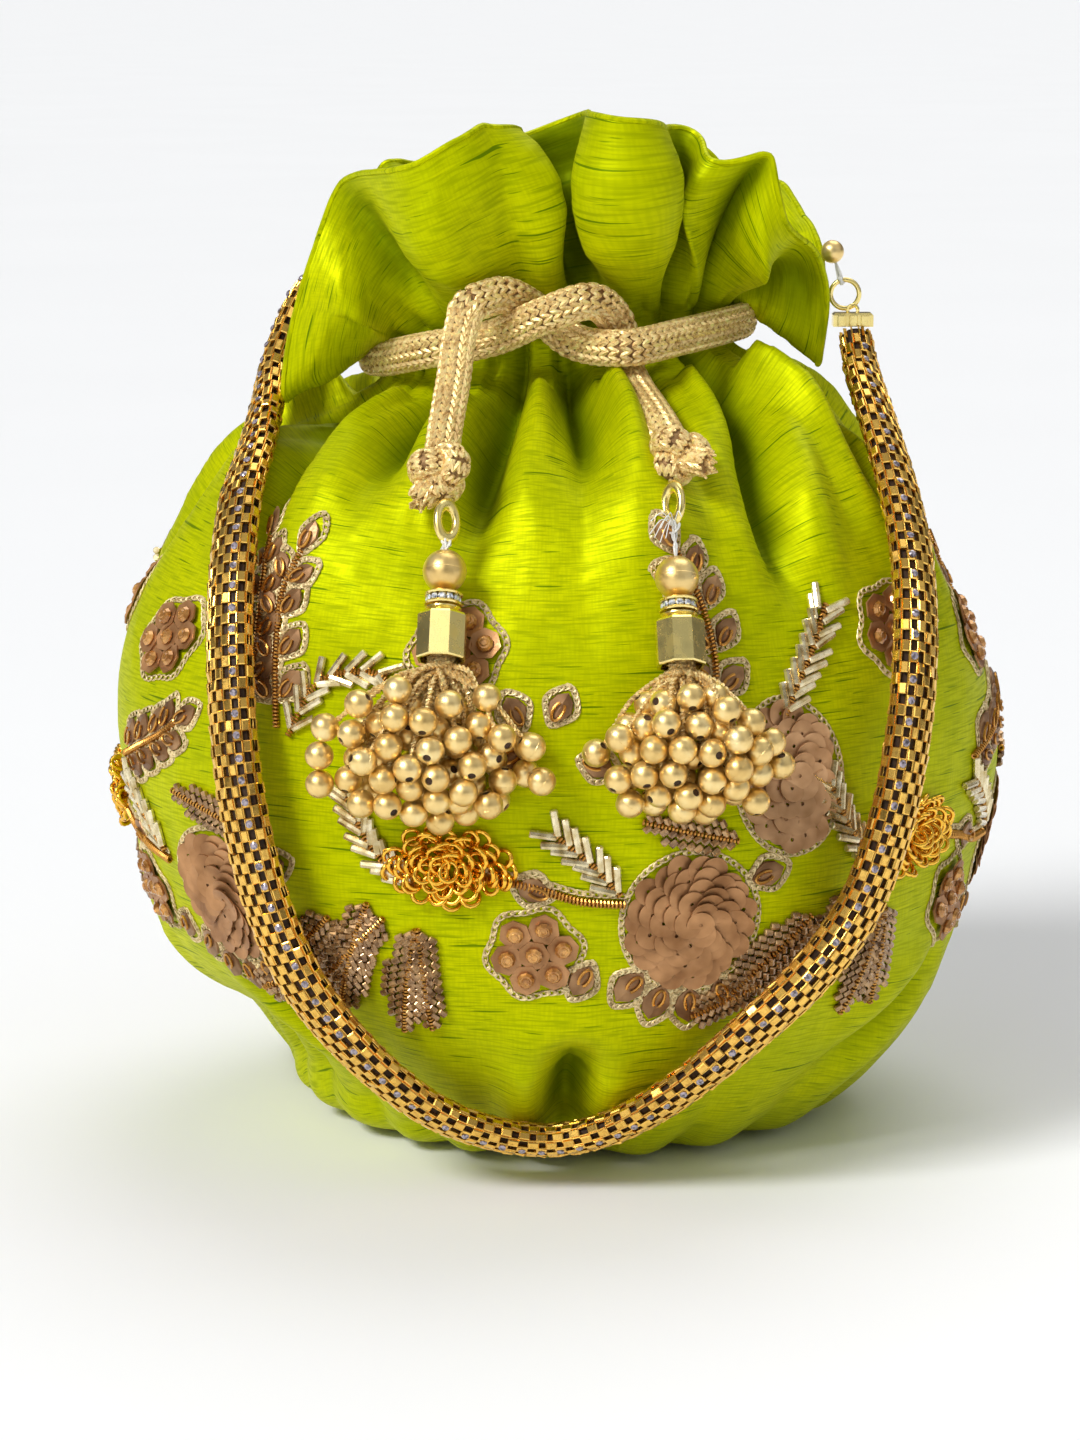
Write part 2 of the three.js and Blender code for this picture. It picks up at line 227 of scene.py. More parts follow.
def soft_box(width, length, height, bevel):
    """A box with bevelled edges: width along X, length along Y, standing on Z = 0."""
    w, l = width / 2, length / 2
    layers = [(w, l, 0), (w, l, height - bevel), (w - bevel, l - bevel, height)]
    verts = [(sx * a, sy * b, c) for a, b, c in layers for sx, sy in ((-1, -1), (1, -1), (1, 1), (-1, 1))]
    faces = grid_faces(3, 4, True) + [(3, 2, 1, 0), (8, 9, 10, 11)]
    return np.array(verts), faces


def drilled_bead(radius, hole, sides=16, rings=9):
    """A round bead with its bore along Z."""
    start = math.asin(hole / radius)
    bow = np.linspace(math.pi / 2 - start, -math.pi / 2 + start, rings)[::-1]
    outline = [(radius * math.cos(a), radius * math.sin(a)) for a in bow]
    outline += [(hole * 0.9, radius * 0.7), (hole * 0.9, -radius * 0.7)]
    return revolve_loop(outline, sides)


def cup_sequin(radius, hole, cup, thickness, sides=14):
    outline = [(hole, 0), (radius * 0.55, cup * 0.25), (radius, cup), (radius, cup + thickness),
               (radius * 0.55, cup * 0.25 + thickness), (hole, thickness)]
    return revolve_loop(outline, sides)


def cut_tube(radius, length, sides=6):
    """A short glass tube along Y with softened ends."""
    outline = [(radius * 0.8, -length / 2), (radius, -length / 2 + radius * 0.25),
               (radius, length / 2 - radius * 0.25), (radius * 0.8, length / 2)]
    verts, faces = revolve(outline, sides)
    return verts[:, [1, 2, 0]], faces


def yarn_leg(length, radius, sides=5):
    """A plump stitch leg along Y."""
    outline = [(0.35, -0.5), (0.85, -0.3), (1.0, 0.0), (0.85, 0.3), (0.35, 0.5)]
    verts, faces = revolve([(r * radius, h * length) for r, h in outline], sides)
    return verts[:, [1, 2, 0]], faces


def leaf_plate(length, width, lift):
    """A faceted teardrop plate along Y, its stalk at the origin, with a raised ridge."""
    half = [(0.34, 0.22), (0.5, 0.5), (0.36, 0.8)]
    outline = [(0, 0)] + half + [(0, 1)] + [(-x, y) for x, y in reversed(half)]
    low = [(x * width, y * length, 0) for x, y in outline]
    rim = [(x * width * 0.92, y * length, lift * 0.5) for x, y in outline]
    ridge = [(0, 0.25 * length, lift), (0, 0.75 * length, lift)]
    verts = np.array(low + rim + ridge)
    faces = grid_faces(2, 8, True) + [(7, 6, 5, 4, 3, 2, 1, 0)]
    faces += [(8, 9, 16), (9, 10, 16), (10, 11, 17, 16), (11, 12, 17), (12, 13, 17), (13, 14, 16, 17),
              (14, 15, 16), (15, 8, 16)]
    return verts, faces


# ---------------------------------------------------------------- pieces
class Piece:
    """Collects vertices and faces, then makes one Blender object that rides on a body."""

    def __init__(self):
        self.verts, self.faces, self.paints, self.count = [], [], [], 0

    def add(self, shape, paint=0):
        verts, faces = shape
        self.verts.append(np.asarray(verts, float))
        self.faces.extend(tuple(i + self.count for i in face) for face in faces)
        self.paints.extend([paint] * len(faces))
        self.count += len(verts)

    def scatter(self, shape, places, turns, paint=0, scales=None):
        """Copies of a shape: places (k, 3), turns (k, 3, 3), scales (k,) or (k, 3)."""
        verts, faces = shape
        places, turns = np.asarray(places, float), np.asarray(turns, float)
        if scales is not None:
            scales = np.asarray(scales, float)
            scales = scales[:, None] if scales.ndim == 1 else scales
            local = verts[None, :, :] * scales[:, None, :]
        else:
            local = np.broadcast_to(verts, (len(places),) + verts.shape)
        world = np.einsum("kij,knj->kni", turns, local) + places[:, None, :]
        for k in range(len(places)):
            self.add((world[k], faces), paint)

    def build(self, name, materials, body, slot, nodes=(), smooth_angle=40):
        mesh = bpy.data.meshes.new(name)
        mesh.from_pydata((np.vstack(self.verts) * MM).tolist(), [], self.faces)
        obj = bpy.data.objects.new(name, mesh)
        bpy.context.collection.objects.link(obj)
        for material in materials if isinstance(materials, (list, tuple)) else [materials]:
            mesh.materials.append(material)
        mesh.polygons.foreach_set("material_index", self.paints)
        finish_shading(obj, smooth_angle)
        return place(obj, body, slot, nodes)


def finish_shading(obj, smooth_angle):
    obj.data.polygons.foreach_set("use_smooth", [smooth_angle > 0] * len(obj.data.polygons))
    if 0 < smooth_angle < 180:
        obj.data.set_sharp_from_angle(angle=math.radians(smooth_angle))
    obj.data.update()


def place(obj, body, slot, nodes=()):
    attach(obj, body)
    if nodes:
        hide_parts(*nodes)
    return obj


# ---------------------------------------------------------------- materials
class Paint:
    """A node material with a Principled shader; constants go straight on the shader's own sockets."""

    def __init__(self, name, colour, roughness=0.5, metallic=0.0, **sockets):
        self.material = bpy.data.materials.new(name)
        self.material.use_nodes = True
        self.tree = self.material.node_tree
        self.shader = self.tree.nodes["Principled BSDF"]
        self.put("Base Color", colour)
        self.put("Roughness", roughness)
        self.put("Metallic", metallic)
        for socket, value in sockets.items():
            self.put(socket.replace("_", " "), value)
        self.height = None

    def put(self, socket, value):
        if isinstance(value, bpy.types.NodeSocket):
            self.tree.links.new(value, self.shader.inputs[socket])
        elif isinstance(value, (tuple, list)):
            self.shader.inputs[socket].default_value = (*value, 1.0)
        else:
            self.shader.inputs[socket].default_value = value

    def node(self, kind, settings=(), **inputs):
        node = self.tree.nodes.new(kind)
        for key, value in dict(settings).items():
            setattr(node, key, value)
        for key, value in inputs.items():
            socket = node.inputs[key.replace("_", " ")]
            if isinstance(value, bpy.types.NodeSocket):
                self.tree.links.new(value, socket)
            else:
                socket.default_value = value
        return node

    def coords(self, kind="Object", scale=(1, 1, 1)):
        source = self.node("ShaderNodeTexCoord").outputs[kind]
        return self.node("ShaderNodeMapping", Vector=source, Scale=scale).outputs["Vector"]

    def noise(self, vector, scale=1.0, detail=2.0, roughness=0.5):
        node = self.node("ShaderNodeTexNoise", Vector=vector, Scale=scale, Detail=detail, Roughness=roughness)
        return node.outputs["Fac"]

    def ramp(self, fac, *stops):
        node = self.node("ShaderNodeValToRGB", Fac=fac)
        while len(node.color_ramp.elements) < len(stops):
            node.color_ramp.elements.new(0.5)
        for element, (position, colour) in zip(node.color_ramp.elements, stops):
            element.position = position
            element.color = (*colour, 1.0)
        return node.outputs["Color"]

    def level(self, fac, low, high, out_low=0.0, out_high=1.0):
        node = self.node("ShaderNodeMapRange", Value=fac, From_Min=low, From_Max=high,
                         To_Min=out_low, To_Max=out_high)
        return node.outputs["Result"]

    def mix(self, fac, first, second):
        node = self.node("ShaderNodeMix", {"data_type": "RGBA"})
        for index, value in ((0, fac), (6, first), (7, second)):
            if isinstance(value, bpy.types.NodeSocket):
                self.tree.links.new(value, node.inputs[index])
            else:
                node.inputs[index].default_value = (*value, 1.0) if isinstance(value, tuple) else value
        return node.outputs[2]

    def bump(self, fac, distance, strength=1.0):
        """Adds relief; several are chained."""
        node = self.node("ShaderNodeBump", Height=fac, Distance=distance, Strength=strength)
        if self.height is not None:
            self.tree.links.new(self.height, node.inputs["Normal"])
        self.height = node.outputs["Normal"]
        self.tree.links.new(self.height, self.shader.inputs["Normal"])
        return self


def silk_paint(name, kind="UV", per_metre=1.0):
    """Raw silk: fine cross threads, uneven slubs, some of them dark, a tinted satin gloss, and painted shade in
    the fold valleys.
    """
    paint = Paint(name, (0.40, 0.44, 0.0), 0.46, 0.26, Sheen_Weight=0.10, Sheen_Roughness=0.4,
                  Sheen_Tint=(1.0, 1.0, 0.05), Specular_IOR_Level=0.24, Specular_Tint=(1.0, 1.0, 0.06),
                  Anisotropic=0.3)
    if kind == "UV":
        paint.put("Tangent", paint.node("ShaderNodeTangent",
                                        {"direction_type": "UV_MAP", "uv_map": "threads"})
                  .outputs["Tangent"])
    k = per_metre
    threads = paint.noise(paint.coords(kind, (14 * k, 210 * k, 14 * k)), 1.0, 1.0, 0.5)
    warp = paint.noise(paint.coords(kind, (190 * k, 24 * k, 24 * k)), 1.0, 0.0, 0.5)
    slubs = paint.noise(paint.coords(kind, (5 * k, 130 * k, 5 * k)), 1.0, 1.0, 0.45)
    dashes = paint.noise(paint.coords(kind, (13 * k, 170 * k, 13 * k)), 1.0, 0.0, 0.4)
    broad = paint.noise(paint.coords(kind, (2.0 * k, 7 * k, 2.0 * k)), 1.0, 1.0, 0.5)
    base = paint.ramp(broad, (0.3, (0.465, 0.52, 0.0)), (0.7, (0.55, 0.58, 0.0)))
    thread = paint.mix(paint.level(threads, 0.34, 0.56), (0.34, 0.395, 0.0), base)
    weave = paint.mix(paint.level(warp, 0.35, 0.6, 0.30, 0.0), thread, (0.33, 0.39, 0.0))
    pale = paint.mix(paint.level(slubs, 0.64, 0.74, 0.0, 0.35), weave, (0.68, 0.70, 0.0))
    dark = paint.mix(paint.level(slubs, 0.325, 0.295, 0.0, 0.9), pale, (0.085, 0.17, 0.0))
    fleck = paint.mix(paint.level(dashes, 0.235, 0.21, 0.0, 0.7), dark, (0.12, 0.21, 0.0))
    # Painted shade: the fold_shade attribute darkens the base colour towards olive in the creases and pleat
    # valleys.
    folds = paint.node("ShaderNodeAttribute", {"attribute_name": "fold_shade"}).outputs["Fac"]
    paint.put("Base Color", paint.mix(paint.level(folds, 0.0, 1.0, 0.0, 0.78), fleck, (0.10, 0.16, 0.0)))
    paint.put("Roughness", paint.level(threads, 0.3, 0.7, 0.54, 0.44))
    paint.bump(threads, 0.00006, 0.6).bump(warp, 0.00004, 0.4)
    return paint.material


def lining_paint():
    paint = Paint("lining_cotton", (0.30, 0.34, 0.06), 0.85)
    weave = paint.noise(paint.coords("Object", (900, 900, 1500)), 1.0, 2.0)
    paint.put("Base Color", paint.ramp(weave, (0.3, (0.22, 0.26, 0.04)), (0.7, (0.36, 0.40, 0.09))))
    paint.bump(weave, 0.0002, 0.6)
    return paint.material


def yarn_paint(name, dark, light, metallic=0.55, roughness=0.36):
    """Metallic yarn: fine plies along the stitches, with bright and tarnished flecks."""
    paint = Paint(name, light, roughness, metallic)
    flecks = paint.noise(paint.coords("Object", (900, 900, 900)), 1.0, 3.0, 0.7)
    broad = paint.noise(paint.coords("Object", (120, 120, 120)), 1.0, 2.0)
    shade = paint.ramp(flecks, (0.30, dark), (0.52, light), (0.75, tuple(min(1.0, c * 1.35) for c in light)))
    paint.put("Base Color", paint.mix(paint.level(broad, 0.35, 0.7, 0.0, 0.35), shade, dark))
    paint.put("Roughness", paint.level(flecks, 0.3, 0.7, roughness + 0.16, roughness - 0.08))
    paint.bump(flecks, 0.0002, 0.7)
    return paint.material


def metal_paint(name, colour, roughness=0.2, wear=(0.6, 0.42, 0.12), scale=300.0):
    """Gold plate: faint scratches, finger haze and slightly warmer worn patches."""
    paint = Paint(name, colour, roughness, 1.0)
    haze = paint.noise(paint.coords("Object", (scale,) * 3), 1.0, 4.0, 0.6)
    scratch = paint.noise(paint.coords("Object", (scale * 9, scale * 0.8, scale * 3)), 1.0, 2.0)
    paint.put("Base Color", paint.mix(paint.level(haze, 0.45, 0.75, 0.0, 0.6), colour, wear))
    paint.put("Roughness", paint.level(haze, 0.3, 0.7, roughness - 0.05, roughness + 0.14))
    paint.bump(scratch, 0.000012, 0.35)
    return paint.material


def pearl_paint():
    """Satin gold coating on plastic beads, with small pits and rubbed patches."""
    paint = Paint("pearl_gold", (0.84, 0.60, 0.22), 0.3, 0.92, Coat_Weight=0.15, Coat_Roughness=0.3)
    broad = paint.noise(paint.coords("Object", (160, 160, 160)), 1.0, 3.0)
    fine = paint.noise(paint.coords("Object", (2400, 2400, 2400)), 1.0, 2.0)
    paint.put("Base Color", paint.ramp(broad, (0.3, (0.76, 0.51, 0.17)), (0.55, (0.94, 0.69, 0.28)),
                                       (0.75, (1.0, 0.82, 0.42))))
    paint.put("Roughness", paint.level(fine, 0.3, 0.7, 0.30, 0.42))
    paint.bump(fine, 0.00003, 0.5)
    return paint.material


def sequin_paint(name, deep, pale):
    """Satin copper film: mottled tone and a fine grain."""
    paint = Paint(name, pale, 0.42, 0.6)
    tone = paint.noise(paint.coords("Object", (170, 170, 170)), 1.0, 2.0)
    fine = paint.noise(paint.coords("Object", (1600, 1600, 1600)), 1.0, 3.0)
    paint.put("Base Color", paint.ramp(tone, (0.30, deep), (0.70, pale)))
    paint.put("Roughness", paint.level(fine, 0.3, 0.7, 0.36, 0.52))
    paint.bump(fine, 0.00003, 0.5)
    return paint.material


def glass_bead_paint(name, deep, pale, metallic=0.5):
    """Lined glass beads: a bright clear coat over a bronze or silver lining."""
    paint = Paint(name, pale, 0.22, metallic, Coat_Weight=0.7, Coat_Roughness=0.08)
    tone = paint.noise(paint.coords("Object", (420, 420, 420)), 1.0, 2.0)
    paint.put("Base Color", paint.ramp(tone, (0.32, deep), (0.68, pale)))
    paint.put("Roughness", paint.level(tone, 0.3, 0.7, 0.16, 0.34))
    return paint.material


def plain_thread_paint():
    paint = Paint("white_thread", (0.86, 0.85, 0.80), 0.8, Sheen_Weight=0.3)
    ply = paint.noise(paint.coords("Object", (2500, 2500, 900)), 1.0, 2.0)
    paint.put("Base Color", paint.ramp(ply, (0.3, (0.70, 0.69, 0.63)), (0.7, (0.92, 0.91, 0.87))))
    paint.bump(ply, 0.0001, 0.6)
    return paint.material


def crystal_paint(name, deep, pale):
    paint = Paint(name, pale, 0.06, 0.35, Coat_Weight=1.0, Coat_Roughness=0.02)
    tone = paint.noise(paint.coords("Object", (1500, 1500, 1500)), 1.0, 1.0)
    paint.put("Base Color", paint.ramp(tone, (0.35, deep), (0.6, pale)))
    return paint.material


SILK = silk_paint("raw_silk")
SILK_FLAT = silk_paint("raw_silk_flat", "Object", 10.0)
LINING = lining_paint()
CORD = yarn_paint("gold_cord_yarn", (0.42, 0.22, 0.05), (1.0, 0.74, 0.33), 0.45)
CORE = yarn_paint("cord_core", (0.15, 0.07, 0.02), (0.36, 0.21, 0.08), 0.3, 0.6)
STRAND = yarn_paint("gold_strand_yarn", (0.40, 0.22, 0.05), (0.95, 0.70, 0.32))
GOLD = metal_paint("gold_plate", (1.0, 0.82, 0.32), 0.20, (0.92, 0.70, 0.22))
LINK = metal_paint("box_link_gold", (0.98, 0.60, 0.13), 0.20, (0.52, 0.26, 0.045), 900.0)
# Painted shade: a near-black core inside the hollow box links darkens the gaps between the plates.
LINK_PAINTED_SHADE = yarn_paint("box_link_inside_painted_shade", (0.012, 0.006, 0.002), (0.04, 0.018, 0.006), 0.3, 0.6)
PEARL = pearl_paint()
# Painted shade: near-black plugs set in the bead holes.
BORE_PAINTED_SHADE = sequin_paint("bead_bore_painted_shade", (0.03, 0.015, 0.008), (0.08, 0.04, 0.02))
SEQUIN = sequin_paint("copper_sequin", (0.28, 0.125, 0.042), (0.55, 0.285, 0.12))
LEAF = sequin_paint("leaf_sequin", (0.15, 0.065, 0.022), (0.44, 0.25, 0.115))
SEQUIN_PALE = sequin_paint("pale_sequin", (0.36, 0.18, 0.07), (0.68, 0.40, 0.20))
COIL = metal_paint("orange_gold_coil", (1.0, 0.58, 0.07), 0.16, (0.80, 0.36, 0.02), 500.0)
COPPER = metal_paint("copper_wire", (0.62, 0.31, 0.07), 0.26, (0.32, 0.12, 0.025), 500.0)
CHAIN = yarn_paint("chain_stitch_yarn", (0.32, 0.21, 0.07), (0.86, 0.68, 0.36), 0.4, 0.45)
AMBER = glass_bead_paint("amber_bead", (0.34, 0.13, 0.02), (0.74, 0.38, 0.10))
CUT_BEAD = glass_bead_paint("bronze_cut_bead", (0.20, 0.10, 0.04), (0.58, 0.35, 0.15), 0.65)
BUGLE = glass_bead_paint("champagne_bugle", (0.52, 0.38, 0.14), (0.98, 0.87, 0.58), 0.8)
THREAD = plain_thread_paint()
CRYSTAL = crystal_paint("cut_crystal", (0.20, 0.22, 0.27), (0.88, 0.91, 0.96))
SMOKE = crystal_paint("lilac_stone", (0.10, 0.085, 0.10), (0.42, 0.36, 0.42))


# ---------------------------------------------------------------- the silk pouch
_profile = curve_through([(r, 0, z) for r, z in PROFILE], 400)


def half_width(z):
    return np.interp(z, _profile[:, 2], _profile[:, 0])


def depth_ratio(z):
    rise = np.clip((np.asarray(z, float) - SHOULDER_START) / (NECK_FOOT - SHOULDER_START), 0, 1)
    return BELLY_DEPTH_RATIO + (NECK_DEPTH_RATIO - BELLY_DEPTH_RATIO) * rise**2


def uneven_folds(azimuth, count, seed, wobble):
    """count folds of uneven width round the pouch, rounded outside and sharp in the creases."""
    a = np.radians(azimuth)
    drift = np.sin(2 * a + seed) + 0.7 * np.sin(3 * a + 2.3 * seed) + 0.5 * np.sin(7 * a - seed)
    phase = count * a + wobble * drift
    return 2 * np.sqrt(np.cos(phase / 2 + seed)**2 + 0.02) - 1.27


# Each crease runs through (azimuth, height) points from the neck down: depth, half-width and ridge beside it.
CREASES = [
    ([(52, 175), (45, 166), (38, 152), (36, 136), (40, 120)], 10.0, 4.6, 3.6),
    ([(5, 176), (6, 166), (7, 150)], 6.5, 3.6, 2.0),
    ([(-17, 175), (-15, 166), (-14, 150), (-13, 138)], 5.5, 4.0, 2.0),
    ([(-80, 172), (-60, 161), (-54, 144), (-51, 126)], 7.0, 5.5, 2.6),
    ([(-38, 174), (-33, 162), (-31, 146)], 4.0, 4.2, 1.8),
    ([(22, 175), (21, 164), (20, 152)], 4.5, 3.6, 1.8),
    ([(74, 172), (66, 158), (64, 138), (66, 122)], 7.0, 5.0, 2.4),
    ([(108, 172), (104, 152), (108, 128)], 6.5, 5.5, 2.4),
    ([(140, 174), (146, 155), (143, 132)], 6.5, 5.0, 2.4),
    ([(162, 174), (161, 162), (164, 148)], 4.5, 4.0, 1.8),
    ([(183, 174), (178, 158), (181, 130)], 7.5, 5.0, 2.6),
    ([(-158, 174), (-160, 162), (-157, 146)], 4.5, 4.0, 1.8),
    ([(-138, 174), (-136, 154), (-140, 130)], 6.5, 5.0, 2.4),
    ([(-110, 172), (-108, 152), (-101, 126)], 6.5, 5.5, 2.4),
    ([(-50, 40), (-40, 25), (-30, 12)], 4.0, 4.5, 1.6),
    ([(64, 42), (50, 26), (40, 12)], 4.0, 4.5, 1.6),
    ([(2, 30), (1, 17), (1, 4)], 8.0, 4.5, 2.2),
    ([(88, 46), (84, 28), (80, 10)], 3.5, 5.0, 1.4),
    ([(124, 38), (114, 22), (108, 8)], 4.0, 4.5, 1.6),
    ([(-125, 38), (-118, 22), (-112, 8)], 4.0, 4.5, 1.6),
    ([(-88, 42), (-84, 26), (-82, 10)], 3.5, 5.0, 1.4),
    ([(170, 36), (172, 20), (175, 6)], 4.5, 4.5, 1.6),
    ([(-158, 34), (-152, 20), (-148, 6)], 3.5, 4.5, 1.4),
]


def crease_depth(azimuth, z):
    total = np.zeros_like(z)
    for path, depth, half, ridge in CREASES:
        line = curve_through([(a, 0, h) for a, h in path], 30)
        near = np.full(z.shape, 1e9)
        along = np.zeros_like(z)
        for k, (line_azimuth, _, line_z) in enumerate(line):
            across = ((azimuth - line_azimuth + 180) % 360 - 180) * half_width(line_z) * math.pi / 180
            gap = across**2 + (z - line_z)**2
            closer = gap < near
            near = np.where(closer, gap, near)
            along = np.where(closer, k / 29, along)
        fade = (1 - smooth(along, 0.35, 1.0)) * (0.55 + 0.45 * smooth(along, 0.0, 0.15))
        distance = np.sqrt(near)
        total -= 1.2 * depth * fade * np.exp(-(distance / half)**2)
        total += 1.1 * ridge * fade * np.exp(-((distance - 2.1 * half) / (1.2 * half))**2)
    return total


def crumple(across, up):
    """Small irregular creases: ridges made of crossing waves, for places in millimetres."""
    rng = np.random.default_rng(12)
    total = np.zeros(np.broadcast(across, up).shape)
    for wavelength in (46.0, 31.0, 21.0, 14.0, 9.5):
        heading_angle = rng.uniform(0, math.pi, 3)
        wave = np.ones_like(total)
        for angle in heading_angle:
            phase = (across * math.cos(angle) + up * math.sin(angle)) * 2 * math.pi / wavelength
            wave = wave * np.sin(phase + rng.uniform(0, 6.28))
        total += wavelength / 46.0 * (1 - 2 * np.sqrt(np.abs(wave) + 0.01))
    return total


def gathers(azimuth, z):
    """The folds that the drawstring makes: fine ones at the neck, wider ones below, and the named creases."""
    below = np.clip(NECK_FOOT + 3 - z, 0, None)
    fine = uneven_folds(azimuth, 34, 1.3, 0.9) * 2.8 * np.exp(-(below / 11)**1.3)
    middle = uneven_folds(azimuth, 16, 0.4, 1.0) * 4.4
    middle = middle * np.exp(-(below / 26)**1.5) * (1 - np.exp(-(below + 3) / 7))
    return fine + middle + crease_depth(azimuth, z)


def pouch_relief(azimuth, z):
    """How far the silk stands out from the plain oval, in millimetres."""
    below = np.clip(NECK_FOOT + 3 - z, 0, None)
    broad = uneven_folds(azimuth, 8, 2.1, 1.3) * 3.8 * np.exp(-((below - 30) / 32)**2)
    hem = uneven_folds(azimuth, 22, 3.1, 1.1) * 2.2 * np.exp(-np.clip(z, 0, None) / 16) * smooth(z, 0, 4)
    sway = 1.6 * np.sin(np.radians(2 * azimuth + 40)) * np.sin(z / 21.0)
    sway = sway + 1.1 * np.sin(np.radians(5 * azimuth) + z / 13.0)
    slump = -14.0 * np.exp(-((z - 14) / 19)**2) * smooth(z, 0, 6)
    slump = slump * np.exp(-(((azimuth + 68 + 180) % 360 - 180) / 36)**2)
    small = crumple(np.radians(azimuth) * 90, z) * 0.2 * smooth(z, 3, 14) * (0.5 + 0.5 * smooth(z, 90, 150))
    belly = smooth(z, 4, 40) * (1 - smooth(z, 120, 165))
    return gathers(azimuth, z) + broad + hem + sway * belly + slump + small


def profile_lean(z):
    """Outward and upward parts of the plain profile's normal at a height."""
    run, rise = np.gradient(_profile[:, 0]), np.gradient(_profile[:, 2])
    size = np.hypot(run, rise)
    return np.interp(z, _profile[:, 2], rise / size), np.interp(z, _profile[:, 2], -run / size)


def pouch_point(azimuth, z, inset=0.0, calm=0.0):
    """The silk's surface at an azimuth from the front, positive towards +X, and a height."""
    azimuth, z = np.broadcast_arrays(np.asarray(azimuth, float), np.asarray(z, float))
    relief = pouch_relief(azimuth, z)
    relief = np.where(z > NECK_FOOT - 4, np.minimum(relief, 1.0), relief) * (1 - calm) - inset
    turn = np.radians(azimuth)
    outward, upward = profile_lean(z)
    x = (half_width(z) + relief * outward) * np.sin(turn)
    y = -(half_width(z) * depth_ratio(z) + relief * outward) * np.cos(turn)
    lift = NECK_TILT * x * smooth(z, SHOULDER_START, NECK_FOOT)
    return np.stack([x, y, np.maximum(z + lift + relief * upward, 0.0)], -1)


def sheet_object(name, points, uv, shade=None, closed=True):
    """A cloth grid (rows, columns, 3) as an object, with thread coordinates as UV and a painted shade taken from
    fold depths.
    """
    rows, columns = points.shape[:2]
    mesh = bpy.data.meshes.new(name)
    mesh.from_pydata((points.reshape(-1, 3) * MM).tolist(), [], grid_faces(rows, columns, closed))
    layer = mesh.uv_layers.new(name="threads")
    corners = np.empty(len(mesh.loops), int)
    mesh.loops.foreach_get("vertex_index", corners)
    column = corners % columns
    start = np.repeat(corners.reshape(-1, 4)[:, 0] % columns, 4)
    column = np.where((column == 0) & (start == columns - 1), columns, column) if closed else column
    row = corners // columns
    flat = np.stack([uv[0][row, 0] * column / columns, uv[1][row, 0]], 1)
    layer.data.foreach_set("uv", flat.ravel())
    # Painted shade for the fold valleys, stored as the fold_shade attribute that darkens the silk.
    if shade is not None:
        folds = mesh.attributes.new("fold_shade", "FLOAT", "POINT")
        folds.data.foreach_set("value", shade.astype(np.float32).ravel())
    obj = bpy.data.objects.new(name, mesh)
    bpy.context.collection.objects.link(obj)
    return obj


def add_solidify(obj, thickness, offset=-1.0):
    modifier = obj.modifiers.new("thickness", "SOLIDIFY")
    modifier.thickness = thickness * MM
    modifier.offset = offset
    apply_modifier(obj, modifier)


def apply_modifier(obj, modifier):
    bpy.context.view_layer.objects.active = obj
    obj.select_set(True)
    bpy.ops.object.modifier_apply(modifier=modifier.name)
    obj.select_set(False)


UV_UNIT = 0.1


def cloth_rows(points, cut_width):
    """UV in tenths of metres: along the cut width, and up each row's mean height."""
    rows = points.shape[0]
    steps = np.linalg.norm(np.diff(points, axis=0), axis=2).mean(1)
    up = np.concatenate([[0], np.cumsum(steps)])
    return (np.full((rows, 1), cut_width * MM / UV_UNIT), (up * MM / UV_UNIT)[:, None])


CUT_WIDTH = 580.0  # the longest girth


def silk_grid():
    """The pouch's surface as a grid of points, and each one's painted shade from how deep in a fold it lies."""
    columns, rows = 440, 190
    azimuth = np.arange(columns) / columns * 360 - 180
    reach = np.concatenate([[0], np.cumsum(np.hypot(np.diff(_profile[:, 0]), np.diff(_profile[:, 2])))])
    heights = np.interp(np.linspace(0, 1, rows) * reach[-1], reach, _profile[:, 2])
    azimuth, heights = np.broadcast_arrays(azimuth[None, :], heights[:, None])
    # Painted shade: darker the deeper a point lies in a gather or crease.
    return pouch_point(azimuth, heights), smooth(-gathers(azimuth, heights), 0.3, 7.5)


def skin_of(grid):
    """What the beads and the embroidery feel for to lie on the silk."""
    rows, columns = grid.shape[:2]
    return BVHTree.FromPolygons(grid.reshape(-1, 3).tolist(), grid_faces(rows, columns, True))


def make_pouch_cloth(grid, shade):
    cloth = sheet_object("silk_pouch", grid, cloth_rows(grid, CUT_WIDTH), shade)
    add_solidify(cloth, 0.6)
    cloth.data.materials.append(SILK)
    finish_shading(cloth, 180)
    place(cloth, "pouch", "silk", ["pouch_shell"])


def make_lining():
    columns, rows = 240, 90
    azimuth = np.arange(columns) / columns * 360 - 180
    heights = np.linspace(6, 166, rows)
    grid = pouch_point(azimuth[None, :], heights[:, None], inset=4.0)
    floor = grid[0] * [0.7, 0.7, 0] + [0, 0, 4.0]
    centre = grid[0] * [0.02, 0.02, 0] + [0, 0, 4.0]
    grid = np.concatenate([centre[None], floor[None], grid])
    lining = sheet_object("cotton_lining", grid, cloth_rows(grid, CUT_WIDTH))
    add_solidify(lining, 0.4)
    lining.data.materials.append(LINING)
    finish_shading(lining, 180)
    place(lining, "pouch", "lining", ["lining"])


# ---------------------------------------------------------------- the frill
HEM = [(58.5, -6, 173.5), (59.3, -1.7, 196.7), (55, 12, 206), (47, 25, 210), (36, 21, 215), (25, 30, 219),
       (12, 30, 222), (0, 22, 221), (-12, 30, 221), (-25, 31, 219), (-36, 24, 214), (-43, 20, 209),
       (-46.5, 8, 205), (-60, -15, 167), (-58.5, -16, 187), (-51.5, -17, 204.5), (-42, -25, 216),
       (-29, -33, 223), (-15, -34, 227), (-3, -16, 225.5), (13, -34, 231.3), (28, -22, 223.5), (43, -29, 217),
       (55.5, -17, 202)]
FRILL_GAP = 2.2
FRILL_CUT = 550.0  # the hem's length
